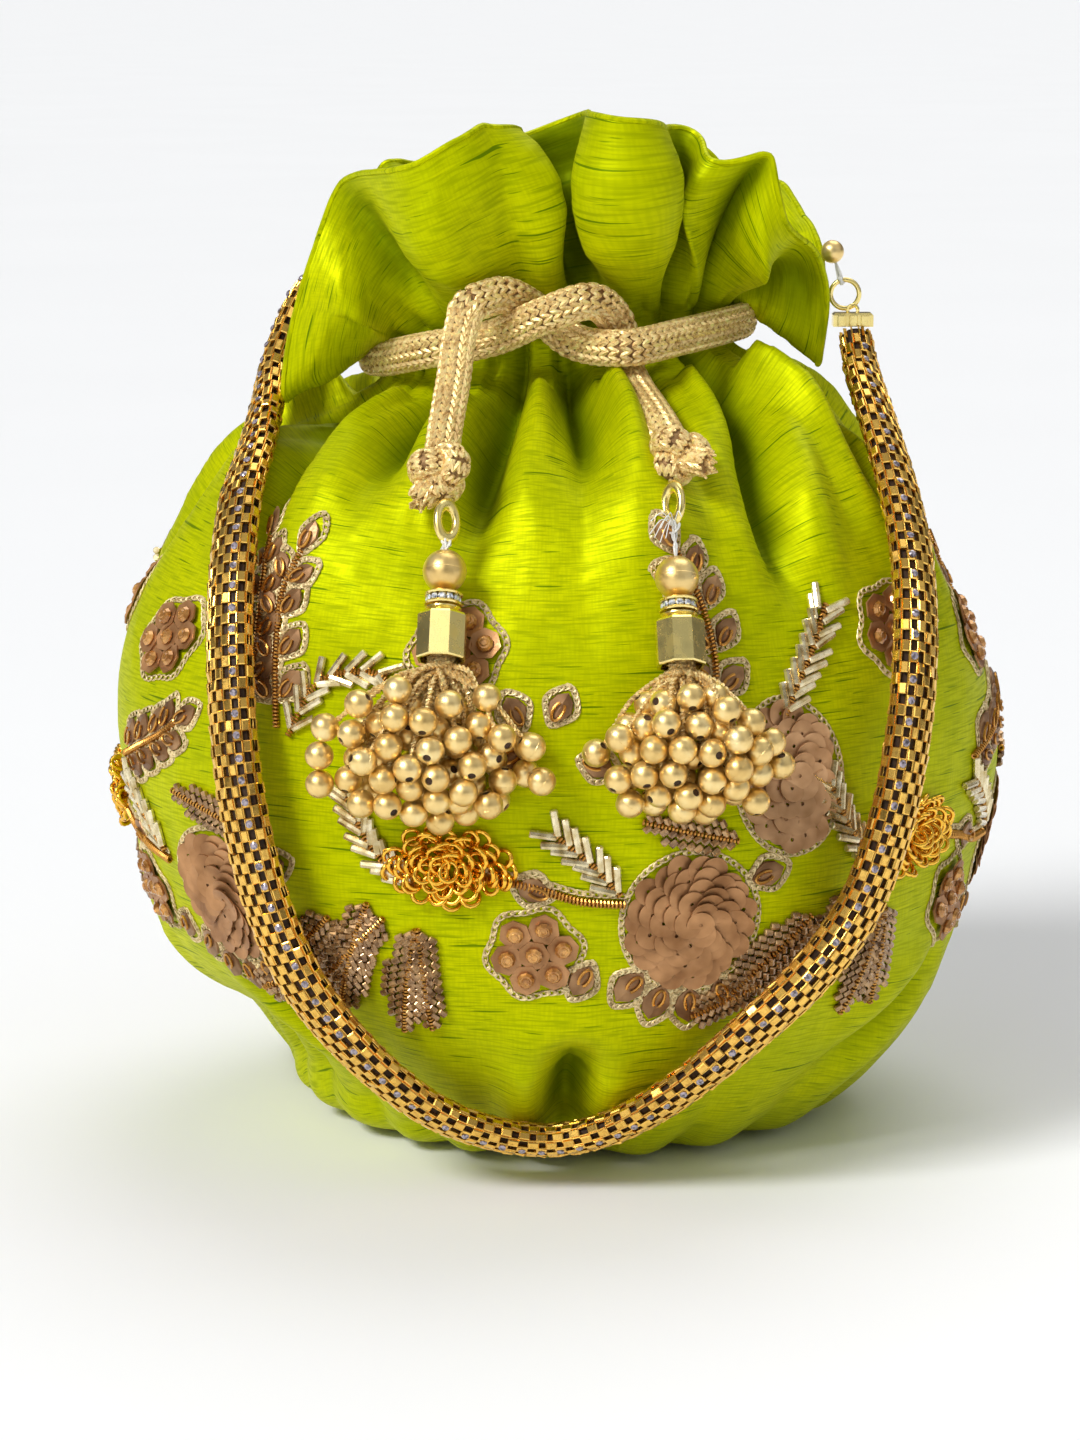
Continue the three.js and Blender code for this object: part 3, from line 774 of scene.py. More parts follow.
# Pleats of the frill: (place along the hem, depth, width), places and widths in twenty-fourths of the hem.
# A negative depth goes inwards.
PLEATS = [(14.3, 4.0, 0.6), (15.5, -7.0, 0.55), (16.9, 6.5, 0.75), (18.0, -2.5, 0.25), (18.5, 2.0, 0.3),
          (19.15, -12.0, 0.42), (20.15, 7.0, 0.6), (20.95, -9.0, 0.28), (21.5, 4.5, 0.3), (22.0, -8.0, 0.3),
          (22.7, 5.5, 0.42), (23.4, -6.0, 0.35), (2.6, -6.0, 0.5), (3.4, 4.0, 0.4), (4.2, -7.5, 0.45),
          (5.5, 5.0, 0.6), (7.0, -8.0, 0.4), (8.6, 5.0, 0.6), (10.2, -7.5, 0.45), (11.2, 4.0, 0.4)]


def closed_curve_at(points, share):
    """Places on a closed Catmull-Rom curve whose given points are evenly spaced in share."""
    points = np.asarray(points, float)
    count = len(points)
    place_on = np.asarray(share) * count
    first = np.floor(place_on).astype(int)
    t = (place_on - first)[:, None]
    p0, p1, p2, p3 = (points[(first + k) % count] for k in (-1, 0, 1, 2))
    return 0.5 * (2 * p1 + (p2 - p0) * t + (2 * p0 - 5 * p1 + 4 * p2 - p3) * t**2
                  + (3 * p1 - p0 - 3 * p2 + p3) * t**3)


def pleat_height(step):
    """How far each place along the hem stands out, from the list of pleats."""
    total = np.zeros_like(step)
    for centre, depth, width in PLEATS:
        gap = (step - centre + 12) % 24 - 12
        total += depth * np.exp(-(gap / width)**2)
    return total


def make_frill():
    columns, rows = 520, 72
    share = np.arange(columns) / columns
    hem = closed_curve_at(HEM, share)
    turn = share * 2 * math.pi
    foot = np.stack([NECK_HALF * np.cos(turn), NECK_HALF * NECK_DEPTH_RATIO * np.sin(turn),
                     np.full(columns, NECK_TOP + FRILL_GAP)], 1)
    foot[:, 2] += NECK_TILT * foot[:, 0]
    stand = np.clip(8 + 0.6 * (hem[:, 2] - foot[:, 2]), 3, 26)
    crest = (foot + hem) / 2
    crest[:, 1] *= 0.9
    crest[:, 2] = foot[:, 2] + stand
    v = np.linspace(-0.06, 1, rows)[:, None, None]
    grid = (1 - v)**2 * foot + 2 * v * (1 - v) * crest + v**2 * hem
    normal = unit(np.cross(np.gradient(grid, axis=1), np.gradient(grid, axis=0)))
    height = np.clip(v[..., 0], 0, 1)
    azimuth = np.degrees(turn)
    fine = uneven_folds(azimuth, 34, 1.3, 0.9)[None, :] * 1.5
    fine = fine * np.exp(-(height / 0.18)**1.4) * smooth(height, 0, 0.05)
    middle = uneven_folds(azimuth, 17, 0.4, 1.0)[None, :] * 1.3 * smooth(height, 0.03, 0.25)
    middle = middle * (1 - 0.85 * smooth(height, 0.35, 0.95))
    lean = (share * 24)[None, :] - 0.5 * np.sin(turn)[None, :] * (1 - height)
    pleats = 1.15 * pleat_height(lean) * (0.25 + 0.75 * smooth(height, 0.05, 0.4))
    pleats = pleats * (1 - 0.35 * smooth(height, 0.7, 1.0))
    ripple = crumple(azimuth[None, :] * 0.9, height * 50) * 0.3 * smooth(height, 0.1, 0.4)
    puff = 6.5 * np.sin(math.pi * height**1.2) * (0.35 + 0.65 * smooth(-np.sin(turn), -0.2, 0.6))[None, :]
    grid = grid + normal * (fine + middle + pleats + ripple + puff)[..., None]
    # Painted shade: darker in the pleat valleys and towards the frill's foot at the drawstring.
    shade = smooth(-(fine + middle + pleats), 0.5, 9.0) + 0.5 * (1 - smooth(height, 0.0, 0.22))
    frill = sheet_object("silk_frill", grid, cloth_rows(grid, FRILL_CUT), np.clip(shade, 0, 1))
    add_solidify(frill, 0.9, 0.0)
    frill.data.materials.append(SILK)
    finish_shading(frill, 180)
    place(frill, "pouch", "silk", ["frill"])
    piping = Piece()
    rim = np.vstack([grid[-1], grid[-1][:1]])
    piping.add(tube(rim, 0.75, 8, unit(rim - [0, 0, 150])))
    piping.build("frill_hem_fold", SILK_FLAT, "pouch", "silk")


# ---------------------------------------------------------------- knitted cords
def knitted_cord(piece, points, facing, half_wide=CORD_HALF_WIDTH, half_thick=CORD_HALF_THICK):
    """A flattened knitted tube: V stitches over a dark core."""
    total = length_of(points)
    dense = curve_through(points, max(int(total / 0.4), 12))
    facing = np.asarray(facing, float)
    if facing.ndim == 2:
        at = np.linspace(0, len(facing) - 1, len(dense))
        facing = np.stack([np.interp(at, np.arange(len(facing)), facing[:, k]) for k in range(3)], 1)
    tangent, outward, side = frames_along(dense, facing)
    turn = (np.arange(14) / 14 * 2 * math.pi)[None, :, None]
    core = dense[::3, None, :] + 0.80 * (half_wide * np.cos(turn) * side[::3, None, :]
                                         + half_thick * np.sin(turn) * outward[::3, None, :])
    rows = core.shape[0]
    caps = [tuple(range(14))[::-1], tuple((rows - 1) * 14 + i for i in range(14))]
    piece.add((core.reshape(-1, 3), grid_faces(rows, 14, True) + caps), 1)
    pitch, columns = 2.0, 11
    stitches = np.arange(pitch * 0.4, total - pitch * 0.3, pitch)
    places, turns = [], []
    for column in range(columns):
        for lean in (-1, 1):
            angle = (column + 0.5 + lean * 0.21) / columns * 2 * math.pi
            at = stitches / total * (len(dense) - 1)
            pick = at.astype(int)
            t, o, s, p = tangent[pick], outward[pick], side[pick], dense[pick]
            spot = p + half_wide * math.cos(angle) * s + half_thick * math.sin(angle) * o
            normal = unit(s * math.cos(angle) / half_wide + o * math.sin(angle) / half_thick)
            across = np.cross(t, normal)
            along = unit(t * math.cos(0.40) + across * lean * math.sin(0.40))
            wide = np.cross(along, normal)
            places.append(spot - normal * 0.25)
            turns.append(np.stack([wide, along, normal], -1))
    piece.scatter(yarn_leg(2.85, 0.60), np.vstack(places), np.vstack(turns), 0)
    return dense


DRAWSTRING_RIGHT = [(-16, -35.5, 190.5), (-11, -31, 191), (-4, -25.2, 186.5), (4, -27.5, 180.5), (15, -34, 180),
                    (27, -25, 181.5)]
DRAWSTRING_LEFT = [(-28, -23, 178.5), (-14, -27, 181.5), (-3, -34.5, 187), (7, -33.5, 190), (12.4, -27.6, 185.6),
                   (14.4, -26.4, 178.8)]
TAIL_TURN_LEFT = [(-16, -35.5, 190.5), (-18.6, -37.2, 189.6), (-20.2, -38.5, 187.5)]
TAILS = {
    "left": [(-20.2, -38.5, 187.5), (-21.6, -42.5, 181), (-22.3, -46.5, 175), (-23.4, -52, 168.5),
             (-24.2, -56, 163.5), (-24.9, -60.6, 156.6)],
    "right": [(15.3, -28.6, 174.4), (17.3, -33.8, 171), (19.8, -41, 168), (22.2, -48.2, 164.8),
              (25.4, -56.4, 159.4), (26.4, -58.6, 157.4)],
}


def neck_ring():
    half_wide, half_deep = NECK_HALF + 4.6, NECK_HALF * NECK_DEPTH_RATIO + 4.2
    ring = []
    for turn in range(-25, 206, 23):
        x = half_wide * math.cos(math.radians(turn))
        ring.append((x, half_deep * math.sin(math.radians(turn)), NECK_TOP - 2 + NECK_TILT * x))
    return ring


def outward_from_neck(points):
    points = np.asarray(points, float)
    return unit(np.stack([points[:, 0] / NECK_HALF**2, points[:, 1] / (NECK_HALF * NECK_DEPTH_RATIO)**2,
                          np.zeros(len(points))], 1) + [0, -0.0004, 0])


def make_drawstring():
    route = np.array(TAIL_TURN_LEFT[:0:-1] + DRAWSTRING_RIGHT + neck_ring() + DRAWSTRING_LEFT)
    dense = curve_through(route, 240)
    piece = Piece()
    knitted_cord(piece, dense, outward_from_neck(dense))
    return piece.build("knitted_drawstring", [CORD, CORE], "pouch", "gold_cord", ["drawstring"])


def overhand_knot(centre, size, roll):
    """A tight trefoil: the cord's own line through an overhand knot."""
    t = np.linspace(0.25, 2 * math.pi - 0.25, 40)
    x = (np.sin(t) + 2 * np.sin(2 * t)) / 3
    z = (np.cos(t) - 2 * np.cos(2 * t)) / 3
    y = -np.sin(3 * t) * 0.42
    c, s = math.cos(roll), math.sin(roll)
    return np.asarray(centre) + size * np.stack([x * c - z * s, y, x * s + z * c], 1)


def cord_facing(points, centre):
    return unit(points - centre + np.array([0, -1.5, 0]))


def make_cord_end(side):
    tail = np.array(TAILS[side], float)
    low, high = box_mm(f"knot_{side}")
    centre = (low + high) / 2
    piece = Piece()
    facing = np.tile([0.0, -0.8, 0.55], (len(tail), 1))
    dense = knitted_cord(piece, curve_through(tail, 60), facing, 3.5, 2.1)
    cord = piece.build(f"cord_end_{side}", [CORD, CORE], f"cord_end_{side}", "gold_cord", [f"tail_{side}"])
    knot = Piece()
    loop = overhand_knot(centre, 4.9, 0.35 if side == "left" else -0.3)
    knitted_cord(knot, loop, cord_facing(loop, centre), 2.9, 1.9)
    bud_way = np.array([-0.55, -0.35, -0.75]) if side == "left" else np.array([0.75, -0.6, -0.1])
    bud = centre + unit(bud_way) * np.linspace(2.0, 8.2, 12)[:, None]
    knitted_cord(knot, bud, [0.0, -1.0, 0.3], 2.9, 2.4)
    fray(knot, bud[-1], unit(bud_way), side)
    knot_piece = knot.build(f"cord_knot_{side}", [CORD, CORE], f"cord_end_{side}", "gold_cord",
                            [f"knot_{side}"])
    return cord, knot_piece, dense


def fray(piece, tip, way, side):
    """Short cut yarn ends at the tip of the cord."""
    rng = np.random.default_rng(5 if side == "left" else 9)
    for _ in range(26):
        lean = unit(way + rng.normal(0, 0.35, 3))
        start = tip - way * 1.2 + rng.normal(0, 1.3, 3) * (1 - np.abs(way))
        bend = rng.normal(0, 0.3, 3)
        path = [start, start + lean * 1.2 + bend * 0.3, start + lean * rng.uniform(1.8, 2.8) + bend]
        piece.add(tube(curve_through(path, 6), 0.3, 5))


# ---------------------------------------------------------------- tassels
def box_centre(node):
    low, high = box_mm(node)
    return (low + high) / 2


def axis_between(first, second):
    return unit(box_centre(second) - box_centre(first))


def make_tassel_head(side):
    """The ring, thread, bead, stone spacer and cap, each on the line that the CAD pieces hang on."""
    body = f"tassel_head_{side}"
    down = axis_between(f"round_bead_{side}", f"bell_cap_{side}")
    frame_turn = turn_to(-down)
    ring_low, ring_high = box_mm(f"end_ring_{side}")
    ring_centre = (ring_low + ring_high) / 2
    ring_radius = (ring_high[0] - ring_low[0]) / 2

    ring = Piece()
    across, along = frame_turn[:, 0], frame_turn[:, 2]
    ring_turn = np.stack([across, along, np.cross(across, along)], -1)
    loop = wire_ring(ring_radius - 1.5, 0.95, 32, 12, 1.5)
    ring.scatter(loop, [ring_centre - down * 0.5], [ring_turn @ roll(0.75 if side == "left" else -0.9)])
    pieces = [ring.build(f"gold_end_ring_{side}", GOLD, body, "brass_trim", [f"end_ring_{side}"])]

    bead_centre = box_centre(f"round_bead_{side}")
    bead_low, bead_high = box_mm(f"round_bead_{side}")
    bead_radius = (bead_high[0] - bead_low[0]) / 2
    thread = Piece()
    rng = np.random.default_rng(3 if side == "left" else 8)
    top = ring_centre + down * (ring_radius - 0.2)
    foot = bead_centre - down * (bead_radius - 0.4)
    for _ in range(5):
        wobble = rng.normal(0, 0.28, 3)
        path = [top, (top * 2 + foot) / 3 + wobble, (top + foot * 2) / 3 - wobble * 0.6, foot]
        thread.add(tube(curve_through(path, 14), 0.26, 6))
    for k in range(4):
        lobe = wire_ring(0.9 + 0.15 * k, 0.26, 16, 6, 1.2)
        thread.scatter(lobe, [top + down * 0.4 * k], [ring_turn @ spin(0.7 * k) @ tilt(0.6 + 0.5 * k)])
    if side == "right":
        for k in range(9):
            way = unit(np.array([rng.uniform(-1, 1), -0.5, rng.uniform(-0.2, 0.9)]))
            reach = rng.uniform(4.0, 9.0)
            start = top + down * rng.uniform(0.0, 1.5)
            end = start + way * reach + [0, -0.5, -reach * 0.35]
            path = [start, start + way * reach * 0.5 + [0, -1.2, 1.4], end]
            thread.add(tube(curve_through(path, 14), 0.11, 5))
    pieces.append(thread.build(f"white_thread_{side}", THREAD, body, "thread", [f"link_thread_{side}"]))

    bead = Piece()
    bead.scatter(drilled_bead(bead_radius, 0.8, 32, 17), [bead_centre], [frame_turn])
    seam = wire_ring(bead_radius - 0.02, 0.07, 40, 6)
    bead.scatter(seam, [bead_centre], [frame_turn])
    pieces.append(bead.build(f"gold_bead_{side}", PEARL, body, "pearl_bead", [f"round_bead_{side}"]))

    pieces.append(make_rondelle(side, body, frame_turn))
    pieces.append(make_cap(side, body, frame_turn))
    return pieces


def make_rondelle(side, body, turn):
    centre = box_centre(f"rondelle_{side}")
    piece = Piece()
    plate = [(1.2, -0.3), (3.9, -0.3), (4.15, 0.0), (3.9, 0.3), (1.2, 0.3)]
    for height in (-1.05, 1.05):
        piece.scatter(revolve_loop(plate, 28), [centre + turn[:, 2] * height], [turn], 0)
    piece.scatter(revolve([(2.7, -0.9), (2.7, 0.9)], 20), [centre], [turn], 0)
    angles = np.arange(12) / 12 * 2 * math.pi
    spots = np.stack([3.2 * np.cos(angles), 3.2 * np.sin(angles), 0 * angles], 1)
    facing = np.stack([np.cos(angles), np.sin(angles), 0 * angles], 1)
    stone = revolve([(0.55, -0.3), (0.85, 0.1), (0.45, 0.5)], 8)
    piece.scatter(stone, centre + spots @ turn.T, turn @ turn_to(facing), 1)
    return piece.build(f"stone_rondelle_{side}", [GOLD, CRYSTAL], body, "crystal", [f"rondelle_{side}"], 25)


def make_cap(side, body, turn):
    """An eight-sided cap, open at the bottom, with a flared collar on top."""
    centre = box_centre(f"bell_cap_{side}")
    half = 5.5
    piece = Piece()
    bevel = 0.35
    outline = [(4.55, -half), (5.15, -half), (5.35, -half + bevel), (5.35, half - 1.7), (5.0, half - 1.2),
               (3.6, half - 0.9), (1.0, half - 0.9), (1.0, half - 1.6), (3.4, half - 1.8), (4.55, half - 2.4)]
    piece.scatter(revolve_loop(outline, 8), [centre], [turn @ spin(math.pi / 8)], 0)
    collar = [(1.0, half - 0.85), (3.1, half - 0.85), (3.9, half - 0.1), (3.9, half + 0.15), (2.9, half - 0.3),
              (1.0, half - 0.3)]
    piece.scatter(revolve_loop(collar, 28), [centre], [turn], 0)
    rivet = revolve([(0.35, 0), (0.35, 0.12), (0.15, 0.2)], 10)
    spots = [centre + turn @ np.array([x, -4.95, -2.2]) for x in (-0.9, 0.9)]
    facing = turn @ turn_to(np.array([0.0, -1.0, 0.0]))
    piece.scatter(rivet, spots, [facing, facing], 0)
    return piece.build(f"gold_cap_{side}", GOLD, body, "brass_trim", [f"bell_cap_{side}"], 25)


GATHER_STEPS = 140  # the beads are drawn together for these steps, and after them only pushed apart


def pack_beads(side, skin, count):
    """Bead centres settled in the cluster's space: apart from each other and off the silk."""
    low, high = box_mm(f"bead_cluster_{side}")
    centre, half = (low + high) / 2, (high - low) / 2
    lean = math.radians(13)
    deep_way = np.array([0, -math.cos(lean), -math.sin(lean)])
    up_way = np.array([0, -math.sin(lean), math.cos(lean)])
    sizes = np.array([half[0] - 1.5, 6.2, half[2] - 2.4])
    rng = np.random.default_rng(21 if side == "left" else 34)
    local = rng.uniform(-1, 1, (count * 4, 3))
    local = local[np.linalg.norm(local, axis=1) < 1][:count] * sizes
    reaches = rng.uniform(0.86, 1.22, (count, 1))
    basis = np.stack([[1, 0, 0], deep_way, up_way])
    spots = centre + local @ basis
    gap = 2 * BEAD_RADIUS + 0.05
    for step in range(400):
        apart = spots[:, None] - spots[None]
        distance = np.linalg.norm(apart, axis=2) + np.eye(count) * 99
        push = np.clip(gap - distance, 0, None)[..., None] * apart / distance[..., None]
        spots = spots + 0.5 * push.sum(1)
        offset = (spots - centre) @ basis.T
        reach = np.linalg.norm(offset / sizes, axis=1, keepdims=True)
        held = reach > (reaches if step < GATHER_STEPS else 1.5 * reaches)
        pull = np.where(held, reaches / reach, 1.0)
        spots = spots + 0.35 * (centre + (offset * pull) @ basis - spots)
        for k, spot in enumerate(spots):
            hit, normal, _, _ = skin.find_nearest(Vector(spot), 14.0)
            if hit is None:
                continue
            out = np.array(normal) if normal.y < 0 else -np.array(normal)
            depth = (spot - np.array(hit)) @ out
            if depth < BEAD_RADIUS + 0.4:
                spots[k] = spot + out * (BEAD_RADIUS + 0.4 - depth)
    return spots


def make_skirt(side, skin):
    """Twisted strands from the cap, each ending in a bead of the cluster."""
    body = f"tassel_skirt_{side}"
    count = 66 if side == "left" else 58
    spots = pack_beads(side, skin, count)
    rng = np.random.default_rng(55)
    centre = box_centre(f"bead_cluster_{side}")
    cap = box_centre(f"bell_cap_{side}")
    mouth = cap + 5.2 * unit(box_centre(f"strand_fan_{side}") - cap)
    beads = Piece()
    away = unit(spots - (mouth + [0, 0, 2])) + rng.normal(0, 0.45, (count, 3))
    turns = turn_to(unit(away))
    beads.scatter(drilled_bead(BEAD_RADIUS, 0.85, 18, 11), spots, turns, 0)
    # Painted shade: a near-black plug inside each bead's hole.
    painted_bore_shade = revolve([(0.8, -BEAD_RADIUS * 0.86), (0.8, BEAD_RADIUS * 0.86)], 10)
    beads.scatter(painted_bore_shade, spots, turns, 1)
    seam = wire_ring(BEAD_RADIUS - 0.03, 0.05, 24, 4)
    beads.scatter(seam, spots, turns, 0)
    cluster = beads.build(f"bead_cluster_gold_{side}", [PEARL, BORE_PAINTED_SHADE], body, "pearl_bead",
                          [f"bead_cluster_{side}"])

    strands = Piece()
    order = np.argsort(-spots[:, 2] + 0.3 * np.abs(spots[:, 0] - centre[0]))
    for k in order[:44]:
        end = spots[k] - unit(spots[k] - mouth) * (BEAD_RADIUS - 0.3)
        angle = rng.uniform(0, 2 * math.pi)
        start = mouth + [1.2 * math.cos(angle), 1.0 * math.sin(angle), 1.4]
        exit_point = mouth + [2.1 * math.cos(angle), 1.9 * math.sin(angle) - 0.3, -1.0]
        bow = (exit_point + end) / 2 + [0.10 * (end[0] - mouth[0]), -1.4, 1.6]
        path = curve_through([start, exit_point, bow, end], 40)
        strands.add(tube(path, 0.34, 5), 0)
        twisted_pair(strands, path)
    strands.build(f"gold_strands_{side}", STRAND, body, "strand", [f"strand_fan_{side}"])
    return cluster


def twisted_pair(piece, path):
    """Two plies wound round the path."""
    _, outward, across = frames_along(path, [0.3, -1.0, 0.2])
    reach = np.concatenate([[0], np.cumsum(np.linalg.norm(np.diff(path, axis=0), axis=1))])
    for start in (0.0, math.pi):
        turn = (reach * 2 * math.pi / 2.4 + start)[:, None]
        ply = path + 0.34 * (np.cos(turn) * outward + np.sin(turn) * across)
        piece.add(tube(ply, 0.36, 5), 0)


# ---------------------------------------------------------------- the handle
HANDLE_ROUTE = [
    (-51, 3.4, 193.5), (-57.4, 3, 187), (-63.2, -4.5, 173), (-65, -15, 164), (-66.4, -27, 157),
    (-68.8, -43, 147), (-69.8, -58, 129), (-69, -68, 108),
    (-66.6, -74, 88), (-61.6, -76, 67), (-54, -76, 49), (-42, -74.5, 33), (-28, -71, 20), (-14, -68, 13.2),
    (0, -67.4, 11.6), (14, -70.5, 16.5), (28, -75, 27), (42, -77, 40), (54, -76.5, 52), (64, -74, 66),
    (70.4, -71, 83), (74, -66.5, 100), (76, -60, 118), (76.2, -50, 134), (74.4, -38, 148), (71, -24, 161.5),
    (68.2, -11, 172), (67, -4.6, 179.8),
]
MESH_HALF_WIDE = 5.7
MESH_HALF_THICK = 3.3
LINK_PITCH = 4.5
LINK_COLUMNS = 16


def handle_facing(points):
    """Flat against the pouch at the sides, turned edge-on to the front along the bottom and near the ends."""
    deep_half = BELLY_HALF * BELLY_DEPTH_RATIO
    azimuth = np.degrees(np.arctan2(points[:, 0] / BELLY_HALF, -points[:, 1] / deep_half))
    turn = np.radians(azimuth)
    rise = (points[:, 2] - 85) / 95
    body = np.stack([np.sin(turn), -np.cos(turn), 0.9 * rise], 1)
    low = (1 - smooth(points[:, 2], 18, 60))[:, None]
    high = (smooth(points[:, 2], 150, 178) * (points[:, 0] < 0))[:, None]
    turned = body * (1 - low) + np.array([0.0, -0.45, -1.0]) * low
    return unit(turned * (1 - high) + np.array([-1.0, 0.1, 0.2]) * high)


def make_handle():
    total_points = 1400
    line = curve_through(HANDLE_ROUTE, total_points)
    total = length_of(line)
    tangent, outward, side = frames_along(line, handle_facing(line))
    ends = np.minimum(np.linspace(0, total, total_points), np.linspace(total, 0, total_points))
    squeeze = 0.74 + 0.26 * smooth(ends, 0, 16)
    piece = Piece()
    # The core inside the links takes the painted shade material: it darkens the gaps between the plates.
    turn = (np.arange(20) / 20 * 2 * math.pi)[None, :, None]
    step = 6
    wide = (MESH_HALF_WIDE * squeeze)[::step, None, None]
    core = line[::step, None, :] + 0.86 * (wide * np.cos(turn) * side[::step, None, :]
                                           + MESH_HALF_THICK * np.sin(turn) * outward[::step, None, :])
    rows = core.shape[0]
    caps = [tuple(range(20))[::-1], tuple((rows - 1) * 20 + i for i in range(20))]
    piece.add((core.reshape(-1, 3), grid_faces(rows, 20, True) + caps), 1)
    angles = even_angles(LINK_COLUMNS)
    stones = []
    rng = np.random.default_rng(4)
    for column in range(LINK_COLUMNS):
        angle = angles[column]
        offset = 0.5 * LINK_PITCH * (column % 2)
        spots = np.arange(1.4 + offset, total - 1.4, LINK_PITCH)
        pick = (spots / total * (total_points - 1)).astype(int)
        gaps = ((spots + LINK_PITCH / 2) / total * (total_points - 1)).astype(int)
        gaps = gaps[gaps < total_points]
        stone_row = column == 6
        for picks, shape, sink in ((pick, soft_box(1.62, 2.45, 0.95, 0.22), 0.55),
                                   (gaps, soft_box(0.28, 2.3, 0.8, 0.08), 0.60)):
            t, o, s, p = tangent[picks], outward[picks], side[picks], line[picks]
            wide = (MESH_HALF_WIDE * squeeze[picks])[:, None]
            spot = p + wide * math.cos(angle) * s + MESH_HALF_THICK * math.sin(angle) * o
            normal = unit(s * math.cos(angle) / wide + o * math.sin(angle) / MESH_HALF_THICK)
            across = unit(np.cross(t, normal))
            turns = np.stack([across, np.cross(normal, across), normal], -1)
            if picks is pick:
                turns = turns @ tilt(rng.normal(0, 0.10, len(pick))) @ roll(rng.normal(0, 0.10, len(pick)))
                even = np.ones(len(picks))
                sizes = np.stack([squeeze[picks], even, even], 1)
                piece.scatter(shape, spot - normal * sink, turns, 0, sizes)
                if stone_row:
                    stones.append((spot + normal * 0.35, turns))
            else:
                for edge in (-0.86, 0.86):
                    piece.scatter(shape, spot - normal * sink + across * edge, turns, 0)
    gem = revolve([(0.5, 0), (0.85, 0.30), (0.45, 0.55)], 8)
    for spot, turns in stones:
        piece.scatter(gem, spot, turns, 2)
    return piece.build("box_link_handle", [LINK, LINK_PAINTED_SHADE, SMOKE], "handle", "box_mesh", ["handle_mesh"], 25)


def even_angles(count):
    """Angles that space points evenly round the handle's flattened section."""
    fine = np.linspace(0, 2 * math.pi, 721)
    ring = np.stack([MESH_HALF_WIDE * np.cos(fine), MESH_HALF_THICK * np.sin(fine)], 1)
    reach = np.concatenate([[0], np.cumsum(np.linalg.norm(np.diff(ring, axis=0), axis=1))])
    return np.interp(np.arange(count) / count * reach[-1], reach, fine)


# The left end hides behind the frill's fold: its trimmings sit further along the handle's own hinge line.
HANDLE_END_SHIFT = {"left": np.array([13.0, -0.5, -0.6]), "right": np.zeros(3)}


def make_handle_ends():
    for side, shift in HANDLE_END_SHIFT.items():
        edge_on = spin(math.pi / 2) if side == "left" else np.eye(3)
        bar = box_centre(f"handle_bar_{side}") + shift
        low, high = box_mm(f"handle_bar_{side}")
        size = high - low
        clamp = Piece()
        shell = soft_box(size[0], size[1], size[2], 0.45)
        clamp.scatter(shell, [bar - [0, 0, size[2] / 2]], [edge_on])
        for across in (-2.6, 0.0, 2.6):
            tooth = edge_on @ np.array([across, -size[1] / 2 + 0.05, -0.2])
            facing = edge_on @ turn_to(np.array([0.0, -1.0, 0.0]))
            clamp.scatter(soft_box(1.9, 2.4, 0.35, 0.12), [bar + tooth], [facing])
        clamp.scatter(wire_ring(1.15, 0.4, 20, 8), [bar + [0, 0, size[2] / 2 + 0.5]], [tilt(math.pi / 2)])
        clamp.build(f"mesh_clamp_{side}", GOLD, "handle", "brass_trim", [f"handle_bar_{side}"], 25)

        ring_low, ring_high = box_mm(f"handle_ring_{side}")
        centre = (ring_low + ring_high) / 2 + shift
        radius = (ring_high[0] - ring_low[0]) / 2
        ring = Piece()
        ring.scatter(wire_ring(radius - 0.5, 0.55, 36, 10), [centre], [tilt(math.pi / 2)])
        ring.build(f"split_ring_{side}", GOLD, "handle", "brass_trim", [f"handle_ring_{side}"])

        bead_low, bead_high = box_mm(f"anchor_bead_{side}")
        middle = (bead_low + bead_high) / 2 + shift
        way = unit(centre - middle)
        bead = Piece()
        bead.scatter(drilled_bead((bead_high[0] - bead_low[0]) / 2, 0.5, 20, 11), [middle], [turn_to(way)])
        bead.build(f"seam_bead_{side}", PEARL, "handle", "pearl_bead", [f"anchor_bead_{side}"])

        thread = Piece()
        for k in range(4):
            sway = np.array([0.5 * math.cos(1.7 * k), 0.5 * math.sin(1.7 * k), 0])
            path = [middle + way * 2.2, (middle + centre) / 2 + way + sway, centre - way * (radius - 1.4)]
            thread.add(tube(curve_through(path, 10), 0.24, 6))
        for k in range(3):
            thread.scatter(wire_ring(0.9, 0.24, 16, 6), [centre - way * (radius - 0.5)],
                           [turn_to(way) @ tilt(0.5 * k + 0.9)])
        thread.build(f"seam_thread_{side}", THREAD, "handle", "thread", [f"anchor_thread_{side}"])


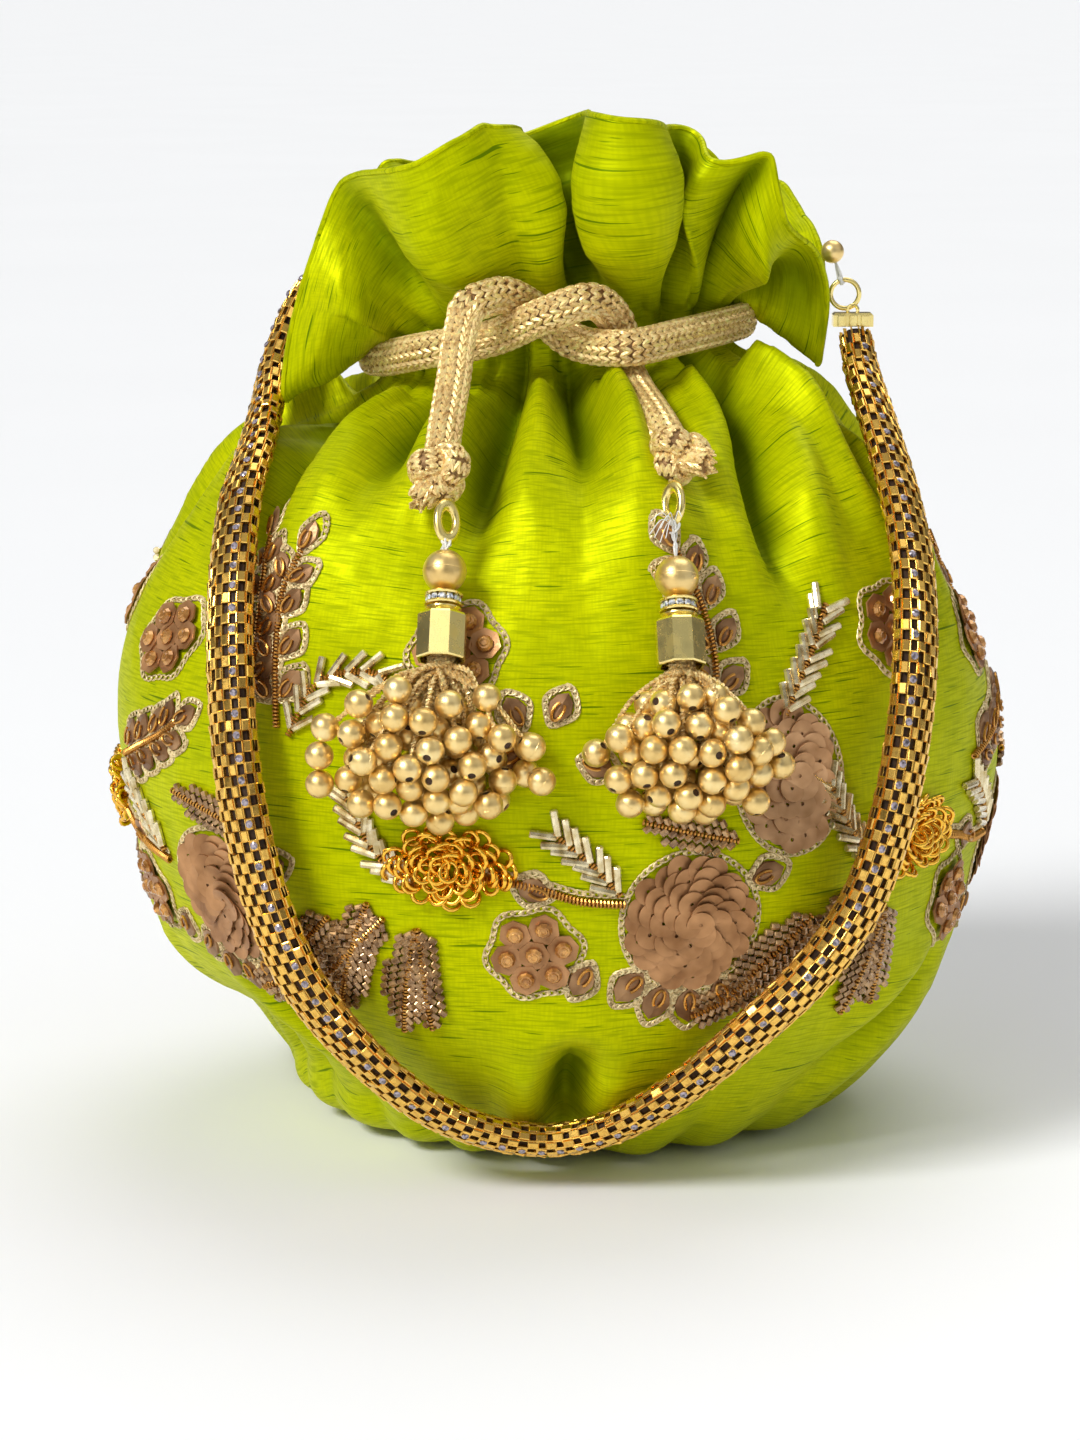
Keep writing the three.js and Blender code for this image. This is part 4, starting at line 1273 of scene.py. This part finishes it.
# ---------------------------------------------------------------- embroidery
class Patch:
    """A small flat drawing board laid on the silk: p across to +X and q up, in millimetres."""

    def __init__(self, skin, azimuth, z):
        self.skin, self.azimuth, self.z = skin, azimuth, z
        span = 4.0
        left, right = self.cast(azimuth - span, z)[0], self.cast(azimuth + span, z)[0]
        below, above = self.cast(azimuth, z - span)[0], self.cast(azimuth, z + span)[0]
        self.per_degree = np.linalg.norm(right - left) / (2 * span)
        self.per_rise = np.linalg.norm(above - below) / (2 * span)

    def cast(self, azimuth, z):
        turn = math.radians(azimuth)
        out = Vector((math.sin(turn), -math.cos(turn), 0))
        hit, normal, _, _ = self.skin.ray_cast(Vector((0, 0, z)) + out * 160, -out)
        if hit is None:
            wide, deep = half_width(z), half_width(z) * BELLY_DEPTH_RATIO
            return np.array([math.sin(turn) * wide, -math.cos(turn) * deep, z]), np.array(out)
        normal = np.array(normal)
        return np.array(hit), normal if normal @ np.array(out) > 0 else -normal

    def at(self, p, q, lift=0.0):
        """Place and turn (X across, Y up, Z out of the cloth) at a point of the board."""
        hit, normal = self.cast(self.azimuth + p / self.per_degree, self.z + q / self.per_rise)
        across = unit(np.cross([0, 0, 1.0], normal))
        turn = np.stack([across, np.cross(normal, across), normal], -1)
        return hit + normal * lift, turn

    def many(self, spots, lift=0.0):
        places, turns = zip(*(self.at(p, q, lift) for p, q in spots))
        return np.array(places), np.array(turns)


def heading(angle):
    """Spin that turns local Y to an angle from the board's +P direction."""
    return spin(angle - math.pi / 2)


def stitch_chain(piece, patch, outline, closed=True, pitch=1.7, lift=0.25, wire=0.2, paint=0):
    """Chain stitch along an outline of the board: a small loop for each stitch."""
    flat = np.array([(p, q, 0) for p, q in outline], float)
    around = curve_through(flat, 200, closed)
    if closed:
        around = np.vstack([around, around[:1]])
    reach = np.concatenate([[0], np.cumsum(np.linalg.norm(np.diff(around, axis=0), axis=1))])
    count = max(int(reach[-1] / pitch), 3)
    spots = (np.arange(count) + 0.5) / count * reach[-1]
    p, q = np.interp(spots, reach, around[:, 0]), np.interp(spots, reach, around[:, 1])
    ahead = np.interp(spots + 0.3, reach, around[:, 0]) - p, np.interp(spots + 0.3, reach, around[:, 1]) - q
    places, turns = patch.many(zip(p, q), lift)
    turns = turns @ heading(np.arctan2(ahead[1], ahead[0]))
    link = wire_ring(0.55, wire, 9, 5, 2.1)
    piece.scatter(link, places, turns @ tilt(np.full(count, 0.16)), paint)


def coiled_wire(piece, patch, route, radius=0.62, pitch=0.78, lift=0.5, paint=0):
    """A stem of close-coiled wire along a route of the board."""
    flat = curve_through([(p, q, 0) for p, q in route], 60)
    total = length_of(flat)
    count = max(int(total / pitch), 4)
    at = (np.arange(count) + 0.5) / count * 59
    p, q = np.interp(at, range(60), flat[:, 0]), np.interp(at, range(60), flat[:, 1])
    dp, dq = np.gradient(p), np.gradient(q)
    places, turns = patch.many(zip(p, q), lift)
    turns = turns @ heading(np.arctan2(dq, dp)) @ tilt(np.full(count, math.pi / 2 - 0.25))
    piece.scatter(wire_ring(radius, 0.28, 9, 5), places, turns, paint)


def rng_for(name, panel):
    return np.random.default_rng(sum(ord(c) for c in name) * 7 + panel)


def sequin_flower(piece, patch, rng, half_wide, half_high):
    """Flat sequins in rings, each lying on the one outside it, inside a chain-stitch rim."""
    sequin = cup_sequin(SEQUIN_RADIUS, 0.42, 0.12, 0.16, 20)
    mean = (half_wide + half_high) / 2
    rings = int((mean - SEQUIN_RADIUS) / 2.3)
    for ring in range(rings, -1, -1):
        reach = ring / rings
        count = max(int(2 * math.pi * reach * (mean - SEQUIN_RADIUS) / 3.7), 1)
        for k in range(count):
            angle = (k + 0.5 * (ring % 2)) / count * 2 * math.pi + rng.uniform(-0.07, 0.07)
            wobble = reach * (1 + rng.uniform(-0.05, 0.05))
            p = wobble * (half_wide - SEQUIN_RADIUS) * math.cos(angle) + 0.12 * half_wide * (1 - reach)
            q = wobble * (half_high - SEQUIN_RADIUS) * math.sin(angle)
            place_at, turn = patch.at(p, q, 0.6 + 0.28 * (rings - ring))
            lean = tilt(0.14 + rng.uniform(-0.08, 0.08)) @ roll(0.14 + rng.uniform(-0.09, 0.09))
            piece.scatter(sequin, [place_at], [turn @ heading(angle) @ lean])
    outline = [((half_wide + 0.6) * math.cos(a), (half_high + 0.6) * math.sin(a))
               for a in np.linspace(0, 2 * math.pi, 16, endpoint=False)]
    stitch_chain(piece, patch, outline, paint=1)


def coil_flower(piece, patch, rng, half_wide, half_high):
    """Rings of bright close-coiled wire, overlapping like scales from the rim to the middle."""
    steps = 30
    around = np.linspace(0, 2 * math.pi, steps, endpoint=False)
    count = 58
    for k in range(count):
        reach = math.sqrt(1 - (k + 0.5) / count)
        angle = k * 2.39996 + rng.uniform(-0.2, 0.2)
        p, q = (half_wide - 1.8) * reach * math.cos(angle), (half_high - 1.8) * reach * math.sin(angle)
        place_at, turn = patch.at(p, q, 0.9 + 1.7 * (1 - reach))
        size = rng.uniform(1.65, 2.05)
        loop = np.stack([size * np.cos(around), size * 1.15 * np.sin(around), 0 * around], 1)
        loop = np.vstack([loop, loop[:1]])
        ribs = 0.50 + 0.05 * np.cos(np.arange(steps + 1) * math.pi)
        spun = turn @ heading(angle + rng.uniform(-0.5, 0.5))
        spun = spun @ tilt(rng.uniform(0.35, 1.0)) @ roll(rng.uniform(-0.3, 0.3))
        piece.scatter(tube(loop, ribs, 7, (0.0, 0.0, 1.0)), [place_at], [spun])


def disc_flower(piece, patch, rng, size):
    """Six faceted discs round a seventh, each with an amber bead, inside a scalloped chain outline."""
    disc = cup_sequin(3.5, 0.5, 0.45, 0.45, 7)
    bead = revolve([(1.55, 0), (1.85, 0.6), (1.3, 1.3), (0.5, 1.4)], 9)
    spacing = size * 0.58
    spots = [(0, 0)] + [(spacing * math.cos(k * math.pi / 3 + 0.2), spacing * math.sin(k * math.pi / 3 + 0.2))
                        for k in range(6)]
    for p, q in spots:
        place_at, turn = patch.at(p, q, 0.45)
        turn = turn @ spin(rng.uniform(0, 6.28)) @ tilt(rng.uniform(-0.15, 0.15))
        piece.scatter(disc, [place_at], [turn], 0)
        piece.scatter(bead, [place_at + turn[:, 2] * 0.5], [turn @ tilt(rng.uniform(-0.2, 0.2))], 1)
        piece.scatter(wire_ring(0.75, 0.22, 10, 5), [place_at + turn[:, 2] * 1.85], [turn], 1)
    outline = []
    for k in range(36):
        a = k / 36 * 2 * math.pi + 0.2
        reach = size * (0.96 + 0.06 * math.cos(6 * (a - 0.2)))
        outline.append((reach * math.cos(a), reach * math.sin(a)))
    stitch_chain(piece, patch, outline, paint=2)


def beaded_leaf(piece, patch, base, angle, length, width, rng):
    """Rows of cut beads slanting off a coiled midrib."""
    bead = cut_tube(0.80, 1.85, 6)
    way = np.array([math.cos(angle), math.sin(angle)])
    across = np.array([-way[1], way[0]])
    rows = int(length / 1.8)
    for k in range(rows):
        t = (k + 0.6) / rows
        half = width / 2 * math.sin(math.pi * min(t * 0.82 + 0.16, 1.0)) ** 0.8
        for side in (-1, 1):
            for step in np.arange(1.2, half, 1.9):
                spot = np.array(base) + way * (t * length + step * 0.55) + across * side * step
                place_at, turn = patch.at(*spot, 0.75 + rng.uniform(-0.05, 0.05))
                lean = angle + side * (math.pi / 2 - 0.7) + rng.uniform(-0.07, 0.07)
                piece.scatter(bead, [place_at], [turn @ heading(lean)], 0)
    tip = np.array(base) + way * length * 0.98
    coiled_wire(piece, patch, [base, np.array(base) + way * length / 2, tip], 0.55, 0.78, 0.8, 1)


def bugle_fern(piece, patch, route, count, rng):
    """Long silver-lined tubes in pairs off a coiled stem."""
    bugle = cut_tube(0.88, 5.8, 8)
    line = curve_through([(p, q, 0) for p, q in route], 60)
    for k in range(count):
        at = int((0.06 + 0.90 * k / max(count - 1, 1)) * 58)
        spot, ahead = line[at, :2], unit(line[at + 1, :2] - line[at, :2])
        base_angle = math.atan2(ahead[1], ahead[0])
        for side in (-1, 1):
            angle = base_angle + side * (0.62 + rng.uniform(-0.08, 0.08))
            middle = spot + 3.2 * np.array([math.cos(angle), math.sin(angle)])
            place_at, turn = patch.at(*middle, 0.85)
            piece.scatter(bugle, [place_at], [turn @ heading(angle)], 0)
    coiled_wire(piece, patch, route, 0.55, 0.78, 0.8, 1)


def drop_leaf(piece, patch, base, angle, length=7.6, width=5.8):
    """A faceted brown sequin with a copper loop on it and a chain outline round it."""
    way = np.array([math.cos(angle), math.sin(angle)])
    across = np.array([-way[1], way[0]])
    place_at, turn = patch.at(*base, 0.25)
    piece.scatter(leaf_plate(length, width, 0.9), [place_at], [turn @ heading(angle)], 0)
    arc = np.linspace(-2.6, 2.6, 14)
    loop = np.stack([1.1 * np.sin(arc), length * 0.36 - 2.1 * np.cos(arc), 1.15 + 0 * arc], 1)
    piece.scatter(tube(loop, 0.34, 6, (0, 0, 1)), [place_at], [turn @ heading(angle)], 1)
    outline = []
    for along, half in ((-0.08, 0.0), (0.22, 0.44), (0.55, 0.66), (0.9, 0.44), (1.16, 0.0), (0.9, -0.44),
                        (0.55, -0.66), (0.22, -0.44)):
        outline.append(tuple(np.array(base) + way * along * length + across * half * width))
    stitch_chain(piece, patch, outline, paint=2, pitch=1.35)


def leaf_branch(piece, patch, route):
    """A coiled stem with drop leaves in pairs and one at the tip."""
    coiled_wire(piece, patch, route, 0.6, 0.78, 0.6, 1)
    line = curve_through([(p, q, 0) for p, q in route], 60)
    for k, share in enumerate((0.18, 0.42, 0.66, 0.86)):
        at = int(share * 58)
        ahead = unit(line[at + 1, :2] - line[at, :2])
        angle = math.atan2(ahead[1], ahead[0])
        for side in (-1, 1):
            away = np.array([-ahead[1], ahead[0]]) * side
            foot = tuple(line[at, :2] + away * 1.3)
            drop_leaf(piece, patch, foot, angle + side * 0.72, 7.4 - 0.4 * k, 5.4 - 0.3 * k)
    ahead = unit(line[-1, :2] - line[-3, :2])
    drop_leaf(piece, patch, tuple(line[-1, :2]), math.atan2(ahead[1], ahead[0]), 6.8, 4.8)


# The panel left of the front has leaves and beads in place of its upper sequin flower.
PLAIN_PANEL = 4


def make_embroidery(skin):
    sequins, pale, coils, discs, leaves, ferns, drops = (Piece() for _ in range(7))
    for panel in range(PANELS):
        shift = panel * PANEL_STEP

        def board(azimuth, z):
            return Patch(skin, azimuth + shift, z)

        rng = rng_for("panel", panel)
        sequin_flower(sequins, board(19.5, 63.5), rng, 14.2, 15.2)
        coil_flower(coils, board(-16, 76), rng, 15.0, 9.4)
        disc_flower(discs, board(-3.6, 57), rng, 10.4)
        disc_flower(discs, board(-16.0, 121), rng, 10.4)

        leaf_board = board(-29, 62)
        beaded_leaf(leaves, leaf_board, (12, 0), math.radians(-86), 24, 10, rng)
        beaded_leaf(leaves, leaf_board, (1, 5), math.radians(-112), 28, 12, rng)
        beaded_leaf(leaves, leaf_board, (-8, 1), math.radians(-136), 26, 12, rng)
        beaded_leaf(leaves, leaf_board, (-18, -14), math.radians(-158), 18, 10, rng)
        flower_board = board(18, 63)
        beaded_leaf(leaves, flower_board, (12, 18), math.radians(165), 22, 8, rng)
        beaded_leaf(leaves, board(38, 56), (12, 8), math.radians(-135), 26, 11, rng)
        beaded_leaf(leaves, board(38, 56), (19, 6), math.radians(-102), 26, 11, rng)

        stem_board = board(0, 70)
        coiled_wire(ferns, stem_board, [(-17, 4), (-6, 2), (4, -1), (14, -2)], 0.75, 0.8, 0.7, 1)
        stitch_chain(ferns, stem_board, [(-17, 5.6), (-6, 3.8), (4, 0.8), (14, -0.2)], False, paint=2)
        bugle_fern(ferns, stem_board, [(13, 0), (7, 7), (-1, 14)], 7, rng)
        bugle_fern(ferns, board(-24, 84), [(4, -13), (-5, -5), (-11, 7)], 9, rng)
        if panel != 1:
            bugle_fern(ferns, board(-33, 112), [(-11, -11), (-5, 1), (6, 4), (13, 1)], 9, rng)

        leaf_branch(drops, board(20, 122), [(4, -16), (6, -4), (4, 8), (-1, 20)])
        for angle in (-132, -110, -87, -63):
            way = math.radians(angle)
            base = (2.6 + 14.6 * math.cos(way), 0.5 + 15.4 * math.sin(way))
            drop_leaf(drops, flower_board, base, way, 8.6, 6.6)
        for base, angle in (((15, 9), 20), ((-19, -9), -120), ((-28, 7), 160)):
            drop_leaf(drops, flower_board, base, math.radians(angle))
        if panel == PLAIN_PANEL:
            leaf_branch(drops, board(27, 120), [(4, -18), (2, -4), (0, 10), (2, 20)])
        else:
            sequin_flower(pale, board(35, 93), rng, 12.5, 16.0)
            bugle_fern(ferns, board(40, 117), [(-7, -12), (1, 0), (8, 11)], 9, rng)
        if panel == 0:
            for base, angle in (((-6, -2), 120), ((0, -1), 60), ((-6, -7), -150), ((6, -9), -20)):
                drop_leaf(drops, board(-1, 108), base, math.radians(angle), 7.0, 5.4)
        else:
            disc_flower(discs, board(4, 116), rng, 10.4)
            leaf_branch(drops, board(6, 94), [(-13, -5), (-5, -2), (4, 2), (10, 6)])

    def numbered(kind):
        return [node for node in (f"{kind}_{k + 1}" for k in range(PANELS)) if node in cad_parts]

    sequins.build("sequin_flowers_low", [SEQUIN, CHAIN], "pouch", "sequin", numbered("sequin_flower_low"), 30)
    pale.build("sequin_flowers_high", [SEQUIN_PALE, CHAIN], "pouch", "sequin",
               numbered("sequin_flower_high"), 30)
    coils.build("coiled_wire_flowers", COIL, "pouch", "gold_coil", numbered("coil_flower"), 60)
    discs.build("disc_flowers", [SEQUIN, AMBER, CHAIN], "pouch", "amber_disc", numbered("disc_flower"), 30)
    leaves.build("cut_bead_leaves", [CUT_BEAD, COPPER], "pouch", "cut_bead", numbered("beaded_leaf"), 20)
    ferns.build("bugle_ferns", [BUGLE, COPPER, CHAIN], "pouch", "cut_bead", (), 25)
    drops.build("drop_leaves", [LEAF, COPPER, CHAIN], "pouch", "sequin", (), 15)


# ---------------------------------------------------------------- floor and light
def make_floor():
    size = 150.0
    mesh = bpy.data.meshes.new("floor")
    corners = [(-size, -size, 0), (size, -size, 0), (size, size, 0), (-size, size, 0)]
    mesh.from_pydata(corners, [], [(0, 1, 2, 3)])
    floor = bpy.data.objects.new("floor", mesh)
    bpy.context.collection.objects.link(floor)
    paint = Paint("pale_floor", (0.90, 0.90, 0.90), 0.6, Specular_IOR_Level=0.2)
    tone = paint.noise(paint.coords("Object", (3, 3, 3)), 1.0, 2.0)
    paint.put("Base Color", paint.ramp(tone, (0.3, (0.893, 0.897, 0.902)), (0.7, (0.905, 0.909, 0.914))))
    mesh.materials.append(paint.material)


def aim_light(name, data, azimuth, elevation, distance):
    """A light at a direction from the pouch, pointing at its middle."""
    light = bpy.data.objects.new(name, data)
    turn, rise = math.radians(azimuth), math.radians(elevation)
    towards = Vector((math.sin(turn) * math.cos(rise), -math.cos(turn) * math.cos(rise), math.sin(rise)))
    light.location = towards * distance + Vector((0, 0, 0.1))
    light.rotation_euler = (-towards).to_track_quat("-Z", "Y").to_euler()
    bpy.context.collection.objects.link(light)


def make_lights():
    """A soft white studio: a sky that darkens down to a bright line at the floor, suns and a softbox."""
    world = bpy.data.worlds.new("studio")
    bpy.context.scene.world = world
    world.use_nodes = True
    tree = world.node_tree
    coords = tree.nodes.new("ShaderNodeTexCoord")
    split = tree.nodes.new("ShaderNodeSeparateXYZ")
    ramp = tree.nodes.new("ShaderNodeValToRGB")
    tree.links.new(coords.outputs["Generated"], split.inputs["Vector"])
    tree.links.new(split.outputs["Z"], ramp.inputs["Fac"])
    sky = ((0.0, 2.4), (0.02, 2.4), (0.05, 0.20), (0.75, 0.95))
    while len(ramp.color_ramp.elements) < len(sky):
        ramp.color_ramp.elements.new(0.5)
    for element, (position, level) in zip(ramp.color_ramp.elements, sky):
        element.position = position
        element.color = (level * 0.985, level, level * 1.02, 1.0)
    background = tree.nodes["Background"]
    tree.links.new(ramp.outputs["Color"], background.inputs["Color"])
    background.inputs["Strength"].default_value = 0.37
    suns = [("key_light", -48.0, 42.0, 2.3, 18.0), ("fill_light", 62.0, 34.0, 0.22, 60.0),
            ("back_light", 155.0, 62.0, 1.0, 45.0)]
    for name, azimuth, elevation, strength, width in suns:
        data = bpy.data.lights.new(name, "SUN")
        data.energy = strength
        data.angle = math.radians(width)
        aim_light(name, data, azimuth, elevation, 1.5)
    softbox = bpy.data.lights.new("softbox", "AREA")
    softbox.shape = "RECTANGLE"
    softbox.size, softbox.size_y = 0.55, 0.9
    softbox.energy = 1.5
    aim_light("softbox", softbox, -26.0, 26.0, 1.1)
    bpy.context.scene.view_settings.view_transform = "Standard"


# ---------------------------------------------------------------- assembly
def make_tassels(skin):
    for side in ("left", "right"):
        cord, knot_piece, line = make_cord_end(side)
        head = make_tassel_head(side)
        cluster = make_skirt(side, skin)


silk, silk_shade = silk_grid()
silk_skin = skin_of(silk)
make_tassels(silk_skin)
make_floor()
make_lights()
make_pouch_cloth(silk, silk_shade)
make_lining()
make_frill()
make_drawstring()
make_handle()
make_handle_ends()
make_embroidery(silk_skin)

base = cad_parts["base_panel"]
base.data.materials.clear()
base.data.materials.append(SILK_FLAT)
